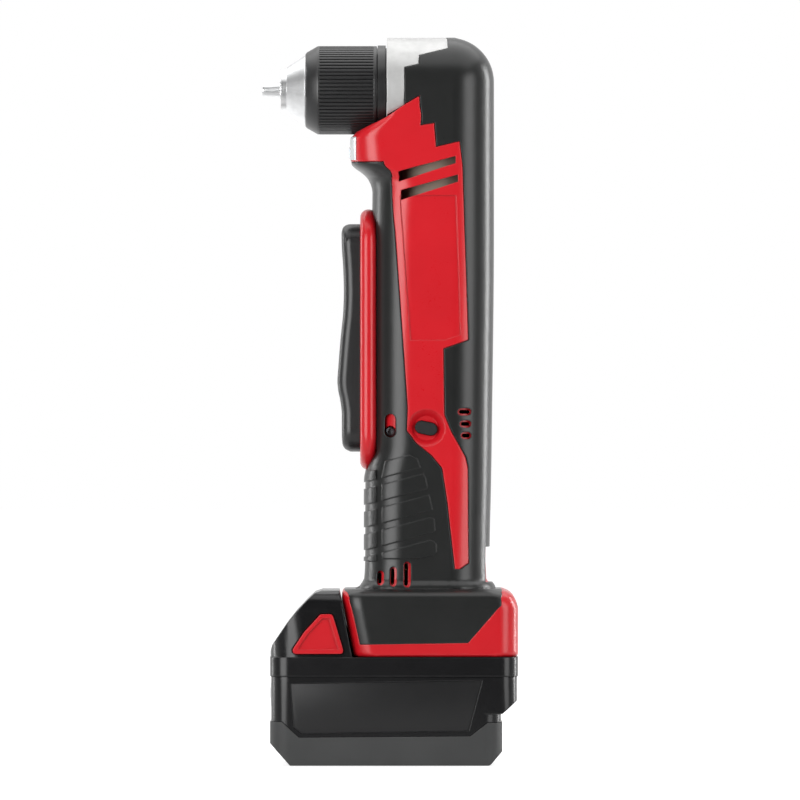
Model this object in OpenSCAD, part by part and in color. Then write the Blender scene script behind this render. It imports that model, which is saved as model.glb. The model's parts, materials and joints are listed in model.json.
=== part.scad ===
// Cordless right angle drill with a sliding battery pack, in millimetres.
// +Z is up along the motor and the chuck points along -X.
// The origin lies under the motor, on the standing plane.

/* [Overall] */
// Height of the chuck axis above the standing plane
axis_z = 319.5; // [319:0.5:321]
// Radius of the head around the chuck axis
head_r = 25; // [24.8:0.1:25.6]
// Half the width of the handle
handle_half_w = 25; // [24.8:0.1:26]
// Reach of the handle's back from the motor axis
spine_reach = 27; // [26.5:0.1:28]
// Reach of the grip's front from the motor axis
grip_reach = 34.2; // [34:0.1:35]
// Thickness of the rubber overmould
overmould_t = 2; // [1.8:0.1:2.2]
// Wall of the clamshell under the rubber
wall_t = 2.6; // [2.2:0.1:2.8]

/* [Base] */
// Height of the underside of the tool base
base_bottom = 51.4; // [51.2:0.1:51.8]
// Height of the top of the tool base
base_top = 83; // [82:0.5:84]
// Reach of the base to the front, at its top
base_front = 46; // [45.5:0.1:46.4]
// Reach of the base to the back
base_back = 38.2; // [38:0.1:39]
// Half the width of the base
base_half_w = 37.5; // [36.5:0.1:38]
// How far the base leans forward from bottom to top
base_lean = 6.2; // [5.8:0.1:6.6]

/* [Chuck] */
// Radius over the ribs of the chuck sleeve
sleeve_r = 21; // [20.8:0.1:21.6]
// Number of ribs around the sleeve
sleeve_ribs = 48; // [36:4:60]
// Angle between a jaw and the chuck axis
jaw_angle = 17; // [16.8:0.1:17.2]
// Radius of a jaw
jaw_r = 3; // [2.9:0.02:3.04]
// Length of a jaw along its own axis
jaw_length = 32.5; // [32:0.1:33]
// Reach of the jaw tips from the motor axis
jaw_tip_reach = 83; // [82.6:0.1:83.4]
// Radius of the hole for the bit
bit_bore_r = 5.2; // [5:0.05:5.4]

/* [Gear train] */
// Module of the planetary stage
planet_module = 0.7; // [0.68:0.01:0.7]
// Teeth of the sun gear on the motor shaft
sun_teeth = 12; // [12:6:12]
// Teeth of each planet gear
planet_teeth = 18; // [18:6:18]
// Module of the bevel stage
bevel_module = 1.1; // [1.05:0.01:1.1]
// Teeth of the bevel pinion
pinion_teeth = 10; // [9:1:10]
// Teeth of the bevel gear
bevel_teeth = 27; // [26:1:27]
// Play between meshing teeth
backlash = 0.16; // [0.12:0.02:0.2]

/* [Motor] */
// Radius of the motor can
motor_r = 19; // [18.6:0.1:19.2]
// Length of the motor can
motor_length = 62; // [60:0.5:63]
// Radius of the motor shaft
shaft_r = 2.5; // [2.4:0.05:2.6]

/* [Paddle] */
// Half the width of the paddle
paddle_half_w = 10.6; // [10.4:0.05:10.7]
// Radius of the round bead of the paddle's bezel
bead_r = 3.9; // [3.7:0.05:4]
// Drop of the paddle's hinge below the chuck axis
paddle_pin_drop = 74; // [73.5:0.1:74.5]

/* [Battery pack] */
// Reach of the pack to the front
pack_front = 79; // [78.6:0.1:80]
// Half the width of the pack
pack_half_w = 38.4; // [38:0.1:39]
// Height of the seam between the pack's two shells
pack_seam = 42; // [41.8:0.1:42.4]
// Radius of a cell
cell_r = 9; // [8.9:0.02:9.04]
// Number of cells along the pack
cell_columns = 5; // [4:1:5]

/* [Hidden] */
$fn = 48;
fit_gap = 0.02;
run_gap = 0.06;
slide_gap = 0.3;
seam_gap = 0.15;
overrun = 1;
reach_all = 200;

// Colours of the pieces
red = [0.72, 0.04, 0.05];
black = [0.07, 0.07, 0.075];
dark = [0.14, 0.14, 0.15];
grey = [0.42, 0.43, 0.45];
silver = [0.74, 0.74, 0.72];
steel = [0.62, 0.63, 0.65];
copper = [0.72, 0.42, 0.2];
clear = [0.92, 0.94, 0.95];
green = [0.08, 0.3, 0.16];
magnet = [0.2, 0.2, 0.22];

// Heights of the drive, from the chuck axis down
neck_drop = 24;
ring_gear_h = 15;
ring_floor_t = 3.6;
fan_play = 0.4;
fan_room = 12;
cap_h = 14;
switch_gap = 1.8;
switch_h = 22;
shuttle_drop = 5.6;
plunger_rise = 10;
neck_bottom = axis_z - neck_drop;
ring_bottom = neck_bottom - ring_gear_h;
ring_floor = ring_bottom - ring_floor_t;
fan_top = ring_floor - fan_play;
motor_top = fan_top - fan_room;
motor_bottom = motor_top - motor_length;
cap_bottom = motor_bottom - cap_h;
switch_top = cap_bottom - switch_gap;
switch_bottom = switch_top - switch_h;
shuttle_z = switch_bottom - shuttle_drop;
plunger_z = switch_bottom + plunger_rise;

// Reaches along the chuck axis, from the motor axis to the front
case_front = 23.8;
case_back = 17;
ring_front = 28.2;
sleeve_front = 62.5;
nose_front = 74.1;

// Outlines seen from the side are given in shares of these boxes
handle_h = axis_z + head_r - base_top;
handle_d = grip_reach + spine_reach;
base_h = base_top - base_bottom;
base_d = base_front + base_back;
pack_d = pack_front + base_back;
function hx(s) = -grip_reach + s * handle_d;
function hz(s) = base_top + s * handle_h;
function bx(s) = -base_front + s * base_d;
function bz(s) = base_bottom + s * base_h;
function px(s) = -pack_front + s * pack_d;
function pz(s) = s * pack_seam;

// Outline of the red side panel, clockwise from the nose
panel_shares = [[-0.2, 0.808], [0.419, 0.891], [0.43, 0.838], [0.535, 0.842], [0.548, 0.799], [0.729,
    0.809], [0.752, 0.766], [0.795, 0.451], [0.605, 0.435], [0.613, 0.315], [0.667, 0.284], [0.7745,
        0.2388],
    [0.793, 0.219], [0.797, 0.047], [0.698, 0.031], [0.639, 0.156], [0.598, 0.219], [0.52, 0.241],
    [0.396, 0.265], [0.326, 0.287], [0.332, 0.329], [0.292, 0.468], [0.22, 0.7], [0.208, 0.757],
    [0.147, 0.7735], [-0.2, 0.7735]];
// Outline of the gear case where no plastic covers it
case_shares = [[-0.05, 1.05], [0.638, 1.05], [0.638, 0.979], [0.419, 0.966], [0.412, 0.95], [0.303, 0.944],
    [0.303, 0.8755], [-0.05, 0.8285]];
// Outline of the rubber on the side and top of the base
base_rubber_shares = [[0.055, 1.3], [0.058, 0.853], [0.1145, 0.177], [0.719, 0.202], [0.901, 0.763],
    [0.913, 1.3]];
// Stations of the handle: height, front, back, half width and the two corner shares
station_shares = [
    [-0.02, 1.12, 1.07, 1.15, 0.7, 0.8], [0.005, 1.07, 1.02, 1.09, 0.7, 0.8],
    [0.018, 1.014, 0.94, 1, 0.72, 0.8], [0.051, 1, 0.924, 0.97, 0.74, 0.8],
    [0.196, 0.995, 0.95, 0.96, 0.76, 0.8], [0.225, 0.955, 0.955, 0.965, 0.76, 0.8],
    [0.26, 0.905, 0.96, 0.975, 0.76, 0.8], [0.65, 0.903, 1, 1, 0.76, 0.8],
    [0.719, 0.898, 1, 1, 0.8, 0.8], [0.734, 0.924, 1, 1, 0.83, 0.8],
    [0.742, 0.955, 1, 1, 0.84, 0.8], [0.75, 1.007, 1, 1, 0.76, 0.8],
    [0.772, 1.19, 1, 1, 0.6, 0.8], [0.814, 1.2, 1, 1, 0.55, 0.8],
    [0.824, 1.14, 1, 1, 0.48, 0.8], [0.8688, 0.697, 1, 1, 0.2, 0.8]];
head_angles = [0, 22, 43, 62, 77, 87];
head_corner_r = 21.4;
head_front_share = 0.2;
head_back_share = 0.8;
head_inset_share = 0.25;
least_share = 0.02;
// Stations of the base: height share and the insets of its rounded top, as shares of its rounding
base_round = 7;
base_station_shares = [[0, 0.12, 0.12, 0.12], [0.03, 0, 0, 0], [0.7, 0, 0, 0], [0.88, 0.06, 0.25, 0.16],
    [0.96, 0.3, 0.6, 0.45], [1, 0.75, 1, 0.9]];
base_corner_r = 10;
corner_steps = 4;
cavity_steps = 3;
cut_sides = 12;
core_sides = 28;
rib_sides = 20;
clearance_sides = 36;
function clear_of(r, sides) = r / cos(180 / sides);
plan_steps = 8;
// Stations that are enough for the hollow inside
cavity_stations = [0, 2, 4, 6, 7, 8, 11, 12, 13, 14, 15];
cavity_angles = [0, 30, 55, 75];

// Shared shapes

function corner_points(cx, cy, rx, ry, from, steps) =
    [for (i = [0 : steps]) let (a = from + 90 * i / steps) [cx + rx * cos(a), cy + ry * sin(a)]];

// Rounded ring at height z, with its own corners at the front and the back
full_share = 0.98;
half_share = 0.48;

function ring_points(z, front, back, half_w, front_r, back_r, steps) =
    let (fy = min(front_r, half_w * full_share), by = min(back_r, half_w * full_share),
        fx = min(front_r, (back - front) * half_share), bx = min(back_r, (back - front) * half_share),
        flat = concat(corner_points(back - bx, half_w - by, bx, by, 0, steps),
            corner_points(front + fx, half_w - fy, fx, fy, 90, steps),
            corner_points(front + fx, fy - half_w, fx, fy, 180, steps),
            corner_points(back - bx, by - half_w, bx, by, 270, steps)))
    [for (p = flat) [p[0], p[1], z]];

module loft(rings) {
    m = len(rings[0]);
    last = len(rings) - 1;
    sides = [for (i = [0 : last - 1], j = [0 : m - 1], half = [0, 1])
        let (k = (j + 1) % m)
        half == 0 ? [i * m + j, (i + 1) * m + j, (i + 1) * m + k] : [i * m + j, (i + 1) * m + k,
            i * m + k]];
    bottom = [[for (j = [0 : m - 1]) j]];
    top = [[for (j = [m - 1 : -1 : 0]) last * m + j]];
    polyhedron([for (r = rings, p = r) p], concat(bottom, sides, top));
}

// Extrudes a side outline across the whole width
module across() {
    rotate([90, 0, 0]) translate([0, 0, -reach_all]) linear_extrude(2 * reach_all) children();
}

// Extrudes a side outline between two values of Y
module between(y0, y1) {
    translate([0, y1, 0]) rotate([90, 0, 0]) linear_extrude(y1 - y0) children();
}

// Extrudes an outline drawn in Y and Z between two values of X
module along_x(x0, x1) {
    translate([x0, 0, 0]) rotate([90, 0, 90]) linear_extrude(x1 - x0) children();
}

// Cylinder along X at the chuck axis
module axle(x0, x1, r) {
    translate([x0, 0, axis_z]) rotate([0, 90, 0]) cylinder(h = x1 - x0, r = r);
}

module axle_cone(x0, x1, r0, r1) {
    translate([x0, 0, axis_z]) rotate([0, 90, 0]) cylinder(h = x1 - x0, r1 = r0, r2 = r1);
}

module post(z0, z1, r) {
    translate([0, 0, z0]) cylinder(h = z1 - z0, r = r);
}

module block(x0, x1, y0, y1, z0, z1) {
    translate([x0, y0, z0]) cube([x1 - x0, y1 - y0, z1 - z0]);
}

// Cylinder along Y through a side place
module cross_pin(x, z, y0, y1, r) {
    translate([x, y1, z]) rotate([90, 0, 0]) cylinder(h = y1 - y0, r = r);
}

// Slot with round ends along Y, between two side places
module round_slot(x0, z0, x1, z1, r, y0, y1) {
    hull() {
        cross_pin(x0, z0, y0, y1, r, $fn = cut_sides);
        cross_pin(x1, z1, y0, y1, r, $fn = cut_sides);
    }
}

module plan_rect(front, back, half_w, r) {
    polygon([for (p = ring_points(0, front, back, half_w, r, r, plan_steps)) [p[0], p[1]]]);
}

module racetrack(half_w, low, high) {
    hull() {
        translate([0, low]) circle(half_w);
        translate([0, high]) circle(half_w);
    }
}

// Shielded ball bearing along Z
bearing_groove_share = 0.12;
bearing_land_share = 0.28;

module bearing(inner, outer, width) {
    groove = width * bearing_groove_share;
    land = (outer - inner) * bearing_land_share;
    difference() {
        cylinder(h = width, r = outer);
        translate([0, 0, -width]) cylinder(h = 3 * width, r = inner);
        for (z = [-groove, width - groove]) {
            translate([0, 0, z]) difference() {
                cylinder(h = 2 * groove, r = outer - land);
                translate([0, 0, -groove]) cylinder(h = 4 * groove, r = inner + land);
            }
        }
    }
}

// Gears

function inv_at(r, base_r) = r <= base_r ? 0 :
    let (t = sqrt(pow(r / base_r, 2) - 1)) t * 180 / PI - atan(t);

// Half the angle of a tooth at radius r
function half_tooth(r, pitch_r, teeth, slack) =
    90 / teeth - slack / pitch_r * 45 / PI + inv_at(pitch_r, pitch_r * cos(20))
    - inv_at(r, pitch_r * cos(20));

flank_shares = [0, 0.5, 1];

function tooth_radii(pitch_r, mod, add, ded) =
    let (low = max(pitch_r - ded * mod, pitch_r * cos(20)), high = pitch_r + add * mod)
    concat(low > pitch_r - ded * mod ? [pitch_r - ded * mod] : [],
        [for (s = flank_shares) low + s * (high - low)]);

// Outline of a spur gear as radius and angle pairs
function gear_polar(mod, teeth, add, ded, slack) =
    let (pr = mod * teeth / 2, radii = tooth_radii(pr, mod, add, ded), n = len(radii))
    [for (k = [0 : teeth - 1], i = [0 : 2 * n - 1])
        let (r = i < n ? radii[i] : radii[2 * n - 1 - i], a = half_tooth(r, pr, teeth, slack))
        [r, 360 * k / teeth + (i < n ? -a : a)]];

module gear_outline(mod, teeth, add, ded, slack) {
    polygon([for (p = gear_polar(mod, teeth, add, ded, slack)) [p[0] * cos(p[1]), p[0] * sin(p[1])]]);
}

// Straight bevel gear with its apex at the origin and its axis along +Z
module bevel_teeth_solid(mod, teeth, cone, outer, inner, slack, add, ded) {
    virtual_r = outer * tan(cone);
    virtual_teeth = teeth / cos(cone);
    radii = tooth_radii(virtual_r, mod, add, ded);
    n = len(radii);
    directions = [for (k = [0 : teeth - 1], i = [0 : 2 * n - 1])
        let (r = i < n ? radii[i] : radii[2 * n - 1 - i],
            a = half_tooth(r, virtual_r, virtual_teeth, slack) / cos(cone),
            tilt = cone + atan((r - virtual_r) / outer), turn = 360 * k / teeth + (i < n ? -a : a))
        [sin(tilt) * cos(turn), sin(tilt) * sin(turn), cos(tilt)]];
    m = len(directions);
    root_tilt = cone + atan((radii[0] - virtual_r) / outer);
    points = concat([for (d = directions) d * inner], [for (d = directions) d * outer],
        [[0, 0, inner * cos(root_tilt)], [0, 0, outer * cos(root_tilt)]]);
    faces = concat([for (j = [0 : m - 1]) let (k = (j + 1) % m) [j, m + j, m + k, k]],
        [for (j = [0 : m - 1]) let (k = (j + 1) % m) [2 * m, j, k]],
        [for (j = [0 : m - 1]) let (k = (j + 1) % m) [2 * m + 1, m + k, m + j]]);
    polyhedron(points, faces);
}

ring_teeth = sun_teeth + 2 * planet_teeth;
planet_orbit = planet_module * (sun_teeth + planet_teeth) / 2;
ring_outer_r = 19.4;
pinion_cone = atan(pinion_teeth / bevel_teeth);
cone_outer = bevel_module * bevel_teeth / 2 / cos(pinion_cone);
cone_inner_share = 0.66;
carrier_drop_share = 1.03;
cone_inner = cone_outer * cone_inner_share;
carrier_top = axis_z - cone_outer * cos(pinion_cone) * carrier_drop_share;
pinion_shaft_r = 5;

// Housing

function handle_rings(d, stations, angles, steps) = concat(
    [for (s = stations) ring_points(hz(s[0]), -grip_reach * s[1] + d, spine_reach * s[2] - d,
        handle_half_w * s[3] - d, handle_half_w * s[4] * s[3] - d, handle_half_w * s[5] * s[3] - d, steps)],
    [for (a = angles)
        let (z = axis_z + (head_r - d) * sin(a), half_w = (head_r - d) * cos(a),
            rise = max(0, z - axis_z - head_r + head_corner_r) / (head_corner_r - d),
            back = spine_reach - d - (head_corner_r - d) * (1 - sqrt(max(least_share, 1 - rise * rise))))
        ring_points(z, -case_front + d * head_inset_share, back, half_w,
            handle_half_w * head_front_share * cos(a), (handle_half_w * head_back_share - d) * cos(a),
                steps)]);

function base_rings(d, steps) = [for (s = base_station_shares)
    let (lean = base_lean * (1 - s[0]))
    ring_points(base_bottom + s[0] * (base_h - d), -base_front + lean + s[1] * base_round + d,
        base_back - s[2] * base_round - d, base_half_w - s[3] * base_round - d, base_corner_r,
            base_corner_r,
        steps)];

module skin(d) {
    loft(handle_rings(d, station_shares, head_angles, corner_steps));
    loft(base_rings(d, corner_steps));
}

module handle_outline(shares) {
    polygon([for (s = shares) [hx(s[0]), hz(s[1])]]);
}

module panel_outline() {
    handle_outline(panel_shares);
}

module base_rubber_outline() {
    polygon([for (s = base_rubber_shares) [bx(s[0]), bz(s[1])]]);
}

// Side outline of the rubber, with a fine line left open around the red panel
rubber_zone_shares = [[-0.3, 0.012], [1.3, 0.012], [1.3, 1.1], [-0.3, 1.1]];
line_w = 0.35;

module rubber_outline() {
    difference() {
        handle_outline(rubber_zone_shares);
        offset(delta = line_w) panel_outline();
        offset(delta = seam_gap) handle_outline(case_shares);
    }
    base_rubber_outline();
}

// Air windows of the grip: place and height, with narrower slots in the clamshell behind them
grip_slot_shares = [[0.122, 0.02, 0.0135], [0.219, 0.0225, 0.0228], [0.326, 0.0265, 0.0338]];
grip_slot_r = 1.7;
slot_narrowing = 0.8;
slot_shift_share = 0.6;
spine_slot_shares = [[0.742, 0.3205, 0.792], [0.757, 0.2985, 0.792], [0.766, 0.2775, 0.792]];
spine_slot_r = 1.7;
oval_shares = [[0.197, 0.307], [0.197, 0.287]];
oval_r = 2.6;
louvre_shares = [[0.262, 0.737], [0.262, 0.755], [0.7, 0.783], [0.7, 0.77]];
louvre_step_shares = [0.018, -0.0335];
handle_screw_shares = [[0.139, 0.7232], [0.197, 0.2849], [0.8039, 0.1606], [0.232, 0.0918]];
base_screw_shares = [[0.1425, 0.7152], [0.9382, 0.7152]];
cap_screw_share = 0.8627;
cap_screw_drop = 5.79;
screw_places = concat([for (s = handle_screw_shares) [hx(s[0]), hz(s[1])]],
    [for (s = base_screw_shares) [bx(s[0]), bz(s[1])]], [[hx(cap_screw_share),
        cap_bottom - cap_screw_drop]]);
screw_r = 1.5;
screw_head_r = 2.4;
screw_post_r = 3.1;
spine_notch_shares = [[0.93, 0.012], [1.1, 0.012], [1.1, 0.076], [0.93, 0.076]];

// Openings through the rubber, or, when narrowed, through the clamshell behind it
module side_openings(narrow) {
    for (s = grip_slot_shares) {
        rise = s[2] * handle_h / 2;
        x = hx(s[0]) - narrow * slot_shift_share;
        round_slot(x, hz(s[1]) - rise, x, hz(s[1]) + rise, grip_slot_r - narrow, -reach_all, reach_all);
    }
    for (s = spine_slot_shares) {
        round_slot(hx(s[0]), hz(s[1]), hx(s[2]), hz(s[1]), spine_slot_r - narrow, -reach_all, reach_all);
    }
}

module louvres() {
    for (i = [0, 1]) {
        across() handle_outline([for (s = louvre_shares) s + i * louvre_step_shares]);
    }
}

// Space of the bezel's bead and its inner wall, with play
bezel_wall = 2;
bezel_stand = 1.72;
bezel_depth = 7.2;
bezel_play = 0.6;
bezel_l = 88.8;
bead_set = 2.7;
bezel_x = -grip_reach * station_shares[7][1] - bezel_stand;
bezel_bore_half_w = paddle_half_w + slide_gap;
bezel_half_w = bezel_bore_half_w + bead_set;
bezel_high = axis_z - paddle_pin_drop;
bezel_low = bezel_high - bezel_l;
bezel_inner_x = bezel_x + bezel_depth;

module bezel_bead(r) {
    for (side = [-1, 1]) {
        translate([bezel_x, side * bezel_half_w, bezel_low]) cylinder(h = bezel_high - bezel_low, r = r);
    }
    translate([bezel_x, 0, bezel_high]) rotate([90, 0, 90]) rotate_extrude(angle = 180)
        translate([bezel_half_w, 0]) circle(r);
    translate([bezel_x, 0, bezel_low]) rotate([-90, 0, 90]) rotate_extrude(angle = 180)
        translate([bezel_half_w, 0]) circle(r);
}

module racetrack_solid(half_w, x0, x1) {
    translate([x0, 0, bezel_high]) rotate([0, 90, 0]) cylinder(h = x1 - x0, r = half_w);
    translate([x0, 0, bezel_low]) rotate([0, 90, 0]) cylinder(h = x1 - x0, r = half_w);
    block(x0, x1, -half_w, half_w, bezel_low, bezel_high);
}

module bezel_space() {
    racetrack_solid(bezel_half_w + bead_r + seam_gap, -base_front, bezel_x + bead_r + seam_gap);
    racetrack_solid(bezel_bore_half_w + bezel_wall + seam_gap, -base_front, bezel_inner_x + bezel_play);
}

// Pocket of the lamp in the nose
lamp_share = 0.7895;
lamp_half_w = 8;
lamp_half_h = 2.9;
lamp_proud = 0.5;
lamp_depth = 5;
lamp_lip = 2;
lamp_space_half_h = 4;
lamp_space_l = 14;
lamp_z = hz(lamp_share);
lamp_front = grip_reach * station_shares[13][1] + lamp_proud;
lamp_back = lamp_front - lamp_depth;

module lamp_shape(extra) {
    along_x(-lamp_front - extra, -lamp_back + extra) hull() {
        for (side = [-1, 1]) {
            translate([side * (lamp_half_w - lamp_half_h), lamp_z]) circle(lamp_half_h + extra, $fn = 24);
        }
    }
}

// Rail channel of the base
rail_half_w = 24;
rail_neck_half_w = 20;
rail_lip_rise = 6.4;
rail_rise = 13.8;
rail_gap = 0.35;
channel_wall = 8.2;
rail_lip_z = base_bottom + rail_lip_rise;
rail_top = base_bottom + rail_rise;
channel_back = base_back - channel_wall;

module rail_channel() {
    block(-reach_all, channel_back, -rail_half_w - rail_gap, rail_half_w + rail_gap, rail_lip_z - rail_gap,
        rail_top + rail_gap);
    block(-reach_all, channel_back, -rail_neck_half_w - rail_gap, rail_neck_half_w + rail_gap, 0,
        rail_lip_z);
}

base_floor_t = 3.4;
terminal_set = 4;
terminal_l = 24;
terminal_half_w = 15;
base_floor = rail_top + base_floor_t;
terminal_x = [channel_back - terminal_set - terminal_l, channel_back - terminal_set];

module cavity() {
    d = overmould_t + wall_t;
    difference() {
        union() {
            loft(handle_rings(d, [for (i = cavity_stations) station_shares[i]], cavity_angles,
                cavity_steps));
            loft(base_rings(d, cavity_steps));
        }
        slab(0, base_floor);
    }
}

shuttle_half_l = 5.2;
shuttle_half_h = 2.9;
shuttle_share = 0.473;
shuttle_x = hx(shuttle_share);
shuttle_tilt = 12;
dish_r = 8;
dish_t = 3;
dish_face_share = 0.972;
shuttle_reach_share = 0.955;
dish_floor_share = 0.72;
dish_mouth_share = 1.5;

module shuttle_bar(y0, y1, extra) {
    along = shuttle_half_l - shuttle_half_h;
    dx = along * cos(shuttle_tilt);
    dz = -along * sin(shuttle_tilt);
    round_slot(shuttle_x - dx, shuttle_z - dz, shuttle_x + dx, shuttle_z + dz, shuttle_half_h + extra, y0,
        y1);
}

// Ribs inside the shell that carry the motor, the gear case and the switch
rib_t = 2.4;
web_t = 1.4;
can_rib_set = 8;
cap_rib_set = 6;
neck_rib_set = 4;
wire_x = 16.2;
wire_r = 4.6;
paddle_space_back = 20;

// Everything between two heights
module slab(z0, z1) {
    block(-reach_all, reach_all, -reach_all, reach_all, z0, z1);
}

// Room behind the paddle, up to a given height
module paddle_space(x1, z1) {
    block(-reach_all, x1, -bezel_bore_half_w, bezel_bore_half_w, base_top, z1);
}

module inner_ribs() {
    levels = [motor_top - can_rib_set, motor_bottom + cap_rib_set, neck_bottom + neck_rib_set];
    bores = [motor_r, motor_r, ring_outer_r];
    intersection() {
        skin(overmould_t + wall_t / 2);
        union() {
            for (i = [0 : len(levels) - 1]) {
                difference() {
                    post(levels[i], levels[i] + rib_t, reach_all / 2, $fn = 4);
                    post(levels[i] - rib_t, levels[i] + 2 * rib_t, clear_of(bores[i] + seam_gap,
                        rib_sides), $fn = rib_sides);
                    paddle_space(bezel_inner_x + slide_gap, bezel_high + bezel_bore_half_w);
                }
            }
            difference() {
                slab(switch_bottom - rib_t, switch_bottom - seam_gap);
                paddle_space(-paddle_space_back, axis_z);
                translate([wire_x, 0, 0]) post(base_top, axis_z, wire_r, $fn = rib_sides);
            }
            difference() {
                slab(switch_top + seam_gap, cap_bottom - seam_gap);
                paddle_space(-paddle_space_back, axis_z);
                translate([wire_x, 0, 0]) post(base_top, axis_z, wire_r, $fn = rib_sides);
            }
            block(switch_back + web_t, reach_all, -web_t, web_t, switch_bottom - rib_t,
                cap_bottom - seam_gap);
            for (p = screw_places) {
                cross_pin(p[0], p[1], -reach_all / 2, reach_all / 2, screw_post_r, $fn = cut_sides);
            }
        }
    }
}

module clamshell() {
    difference() {
        union() {
            difference() {
                union() {
                    skin(overmould_t);
                    intersection() {
                        skin(0);
                        difference() {
                            union() {
                                across() panel_outline();
                                slab(0, base_top);
                            }
                            across() base_rubber_outline();
                        }
                    }
                }
                cavity();
            }
            inner_ribs();
        }
        panel_recess();
        across() offset(delta = seam_gap) handle_outline(case_shares);
        core_space();
        chuck_clearance();
        side_openings(slot_narrowing);
        louvres();
        bezel_space($fn = core_sides);
        lamp_shape(seam_gap);
        block(-lamp_front + lamp_lip, -lamp_back + lamp_space_l, -lamp_half_w - lamp_lip,
            lamp_half_w + lamp_lip, lamp_z - lamp_space_half_h, lamp_z + lamp_space_half_h);
        rail_channel();
        block(terminal_x[0] - seam_gap, terminal_x[1] + seam_gap, -terminal_half_w - seam_gap,
            terminal_half_w + seam_gap, rail_top, base_floor + overrun);
        shuttle_bar(-reach_all, reach_all, slide_gap);
        shuttle_dishes();
        screw_holes();
    }
}

// Shallow inner face of the red panel
recess_zone_shares = [[0, 0.45], [1, 0.45], [1, 0.7115], [0, 0.7115]];
recess_depth = 0.6;
recess_border = 3.4;

module panel_recess() {
    difference() {
        across() intersection() {
            offset(delta = -recess_border) panel_outline();
            handle_outline(recess_zone_shares);
        }
        skin(recess_depth);
    }
}

module shuttle_dishes() {
    face = handle_half_w * dish_face_share;
    for (side = [-1, 1]) {
        translate([shuttle_x, side * (face - dish_t), shuttle_z]) rotate([-side * 90, 0, 0])
            cylinder(h = 2 * dish_t, r1 = dish_r * dish_floor_share, r2 = dish_r * dish_mouth_share,
                $fn = 2 * cut_sides);
    }
}

// Screws are driven from the right side; one is driven from the left, in the oval recess
screw_sides = [1, -1, 1, 1, 1, 1, 1];
screw_seat = 15;
screw_shank_l = 27;
screw_head_h = 2.2;
drive_depth = 1.2;
drive_r = 1.2;

module screw_holes() {
    for (i = [0 : len(screw_places) - 1]) {
        p = screw_places[i];
        side = screw_sides[i];
        far = side * reach_all;
        seat = side * screw_seat;
        cross_pin(p[0], p[1], min(-seat, seat), max(-seat, seat), clear_of(screw_r + fit_gap, cut_sides),
            $fn = cut_sides);
        cross_pin(p[0], p[1], min(seat, far), max(seat, far), clear_of(screw_head_r + slide_gap, cut_sides),
            $fn = cut_sides);
    }
}

// Seat of the gear case in the shell
module core_space() {
    axle(-case_front - overrun, case_back + slide_gap, clear_of(case_core_r + seam_gap, core_sides),
        $fn = core_sides);
}

// Hollow of the nose under the turning chuck
rear_ring_proud = 0.3;
chuck_play = 1.1;

module chuck_clearance() {
    axle(-reach_all, -case_front + seam_gap, clear_of(sleeve_r + rear_ring_proud + chuck_play,
        clearance_sides), $fn = clearance_sides);
}

module half_space(side) {
    low = side < 0 ? -reach_all : 0;
    block(-reach_all, reach_all, low, low + reach_all, -reach_all, 2 * reach_all);
}

module housing_half(side) {
    color(red) intersection() {
        half_space(side);
        clamshell();
    }
}

module housing_left() {
    housing_half(-1);
}

module housing_right() {
    housing_half(1);
}

// Raised slanted pads of the grip, with a plain groove between its front and its sides
grip_rib_shares = [0.043, 0.084, 0.125, 0.166, 0.207];
grip_rib_t = 7.4;
grip_rib_proud = 0.7;
grip_rib_lean = 15;
grip_rib_zone_shares = [[0.135, 0.055], [0.56, 0.055], [0.535, 0.13], [0.47, 0.2], [0.4, 0.236], [0.27,
    0.25], [0.16, 0.232], [0.135, 0.2]];
grip_front_zone_shares = [[-0.4, 0.05], [0.085, 0.05], [0.085, 0.215], [-0.4, 0.215]];
grip_rib_from_share = -0.3;
grip_rib_to_share = 0.5;

module grip_ribs() {
    intersection() {
        skin(-grip_rib_proud);
        across() {
            handle_outline(grip_rib_zone_shares);
            handle_outline(grip_front_zone_shares);
        }
        union() {
            for (s = grip_rib_shares) {
                low = grip_rib_from_share * handle_d * tan(grip_rib_lean);
                high = grip_rib_to_share * handle_d * tan(grip_rib_lean);
                round_slot(hx(grip_rib_from_share), hz(s) + low, hx(grip_rib_to_share), hz(s) + high,
                    grip_rib_t / 2, -reach_all, reach_all);
            }
        }
    }
}

module overmould_half(side) {
    color(black) intersection() {
        half_space(side);
        difference() {
            union() {
                intersection() {
                    skin(0);
                    across() rubber_outline();
                }
                grip_ribs();
            }
            skin(overmould_t);
            core_space();
            chuck_clearance();
            side_openings(0);
            bezel_space($fn = core_sides);
            across() handle_outline(spine_notch_shares);
            round_slot(hx(oval_shares[0][0]), hz(oval_shares[0][1]), hx(oval_shares[1][0]),
                hz(oval_shares[1][1]), oval_r, -reach_all, 0);
            screw_holes();
        }
    }
}

module overmould_left() {
    overmould_half(-1);
}

module overmould_right() {
    overmould_half(1);
}

module housing_screws() {
    color(steel) for (i = [0 : len(screw_places) - 1]) {
        p = screw_places[i];
        side = screw_sides[i];
        translate([p[0], side * screw_seat, p[1]]) rotate([-side * 90, 0, 0]) difference() {
            union() {
                cylinder(h = screw_head_h, r = screw_head_r);
                translate([0, 0, -screw_shank_l]) cylinder(h = screw_shank_l, r = screw_r);
            }
            translate([0, 0, screw_head_h - drive_depth]) cylinder(h = 2 * drive_depth, r = drive_r,
                $fn = 6);
        }
    }
}

// Paddle and switch

module paddle_bezel() {
    color(red) difference() {
        union() {
            bezel_bead(bead_r);
            racetrack_solid(bezel_bore_half_w + bezel_wall, bezel_x - bead_r * bezel_lip_share,
                bezel_inner_x);
        }
        racetrack_solid(bezel_bore_half_w, bezel_x - 2 * bead_r, bezel_inner_x + bead_r);
        cross_pin(pin_x, bezel_high, -bezel_half_w, bezel_half_w, pin_r + fit_gap);
    }
}

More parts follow.
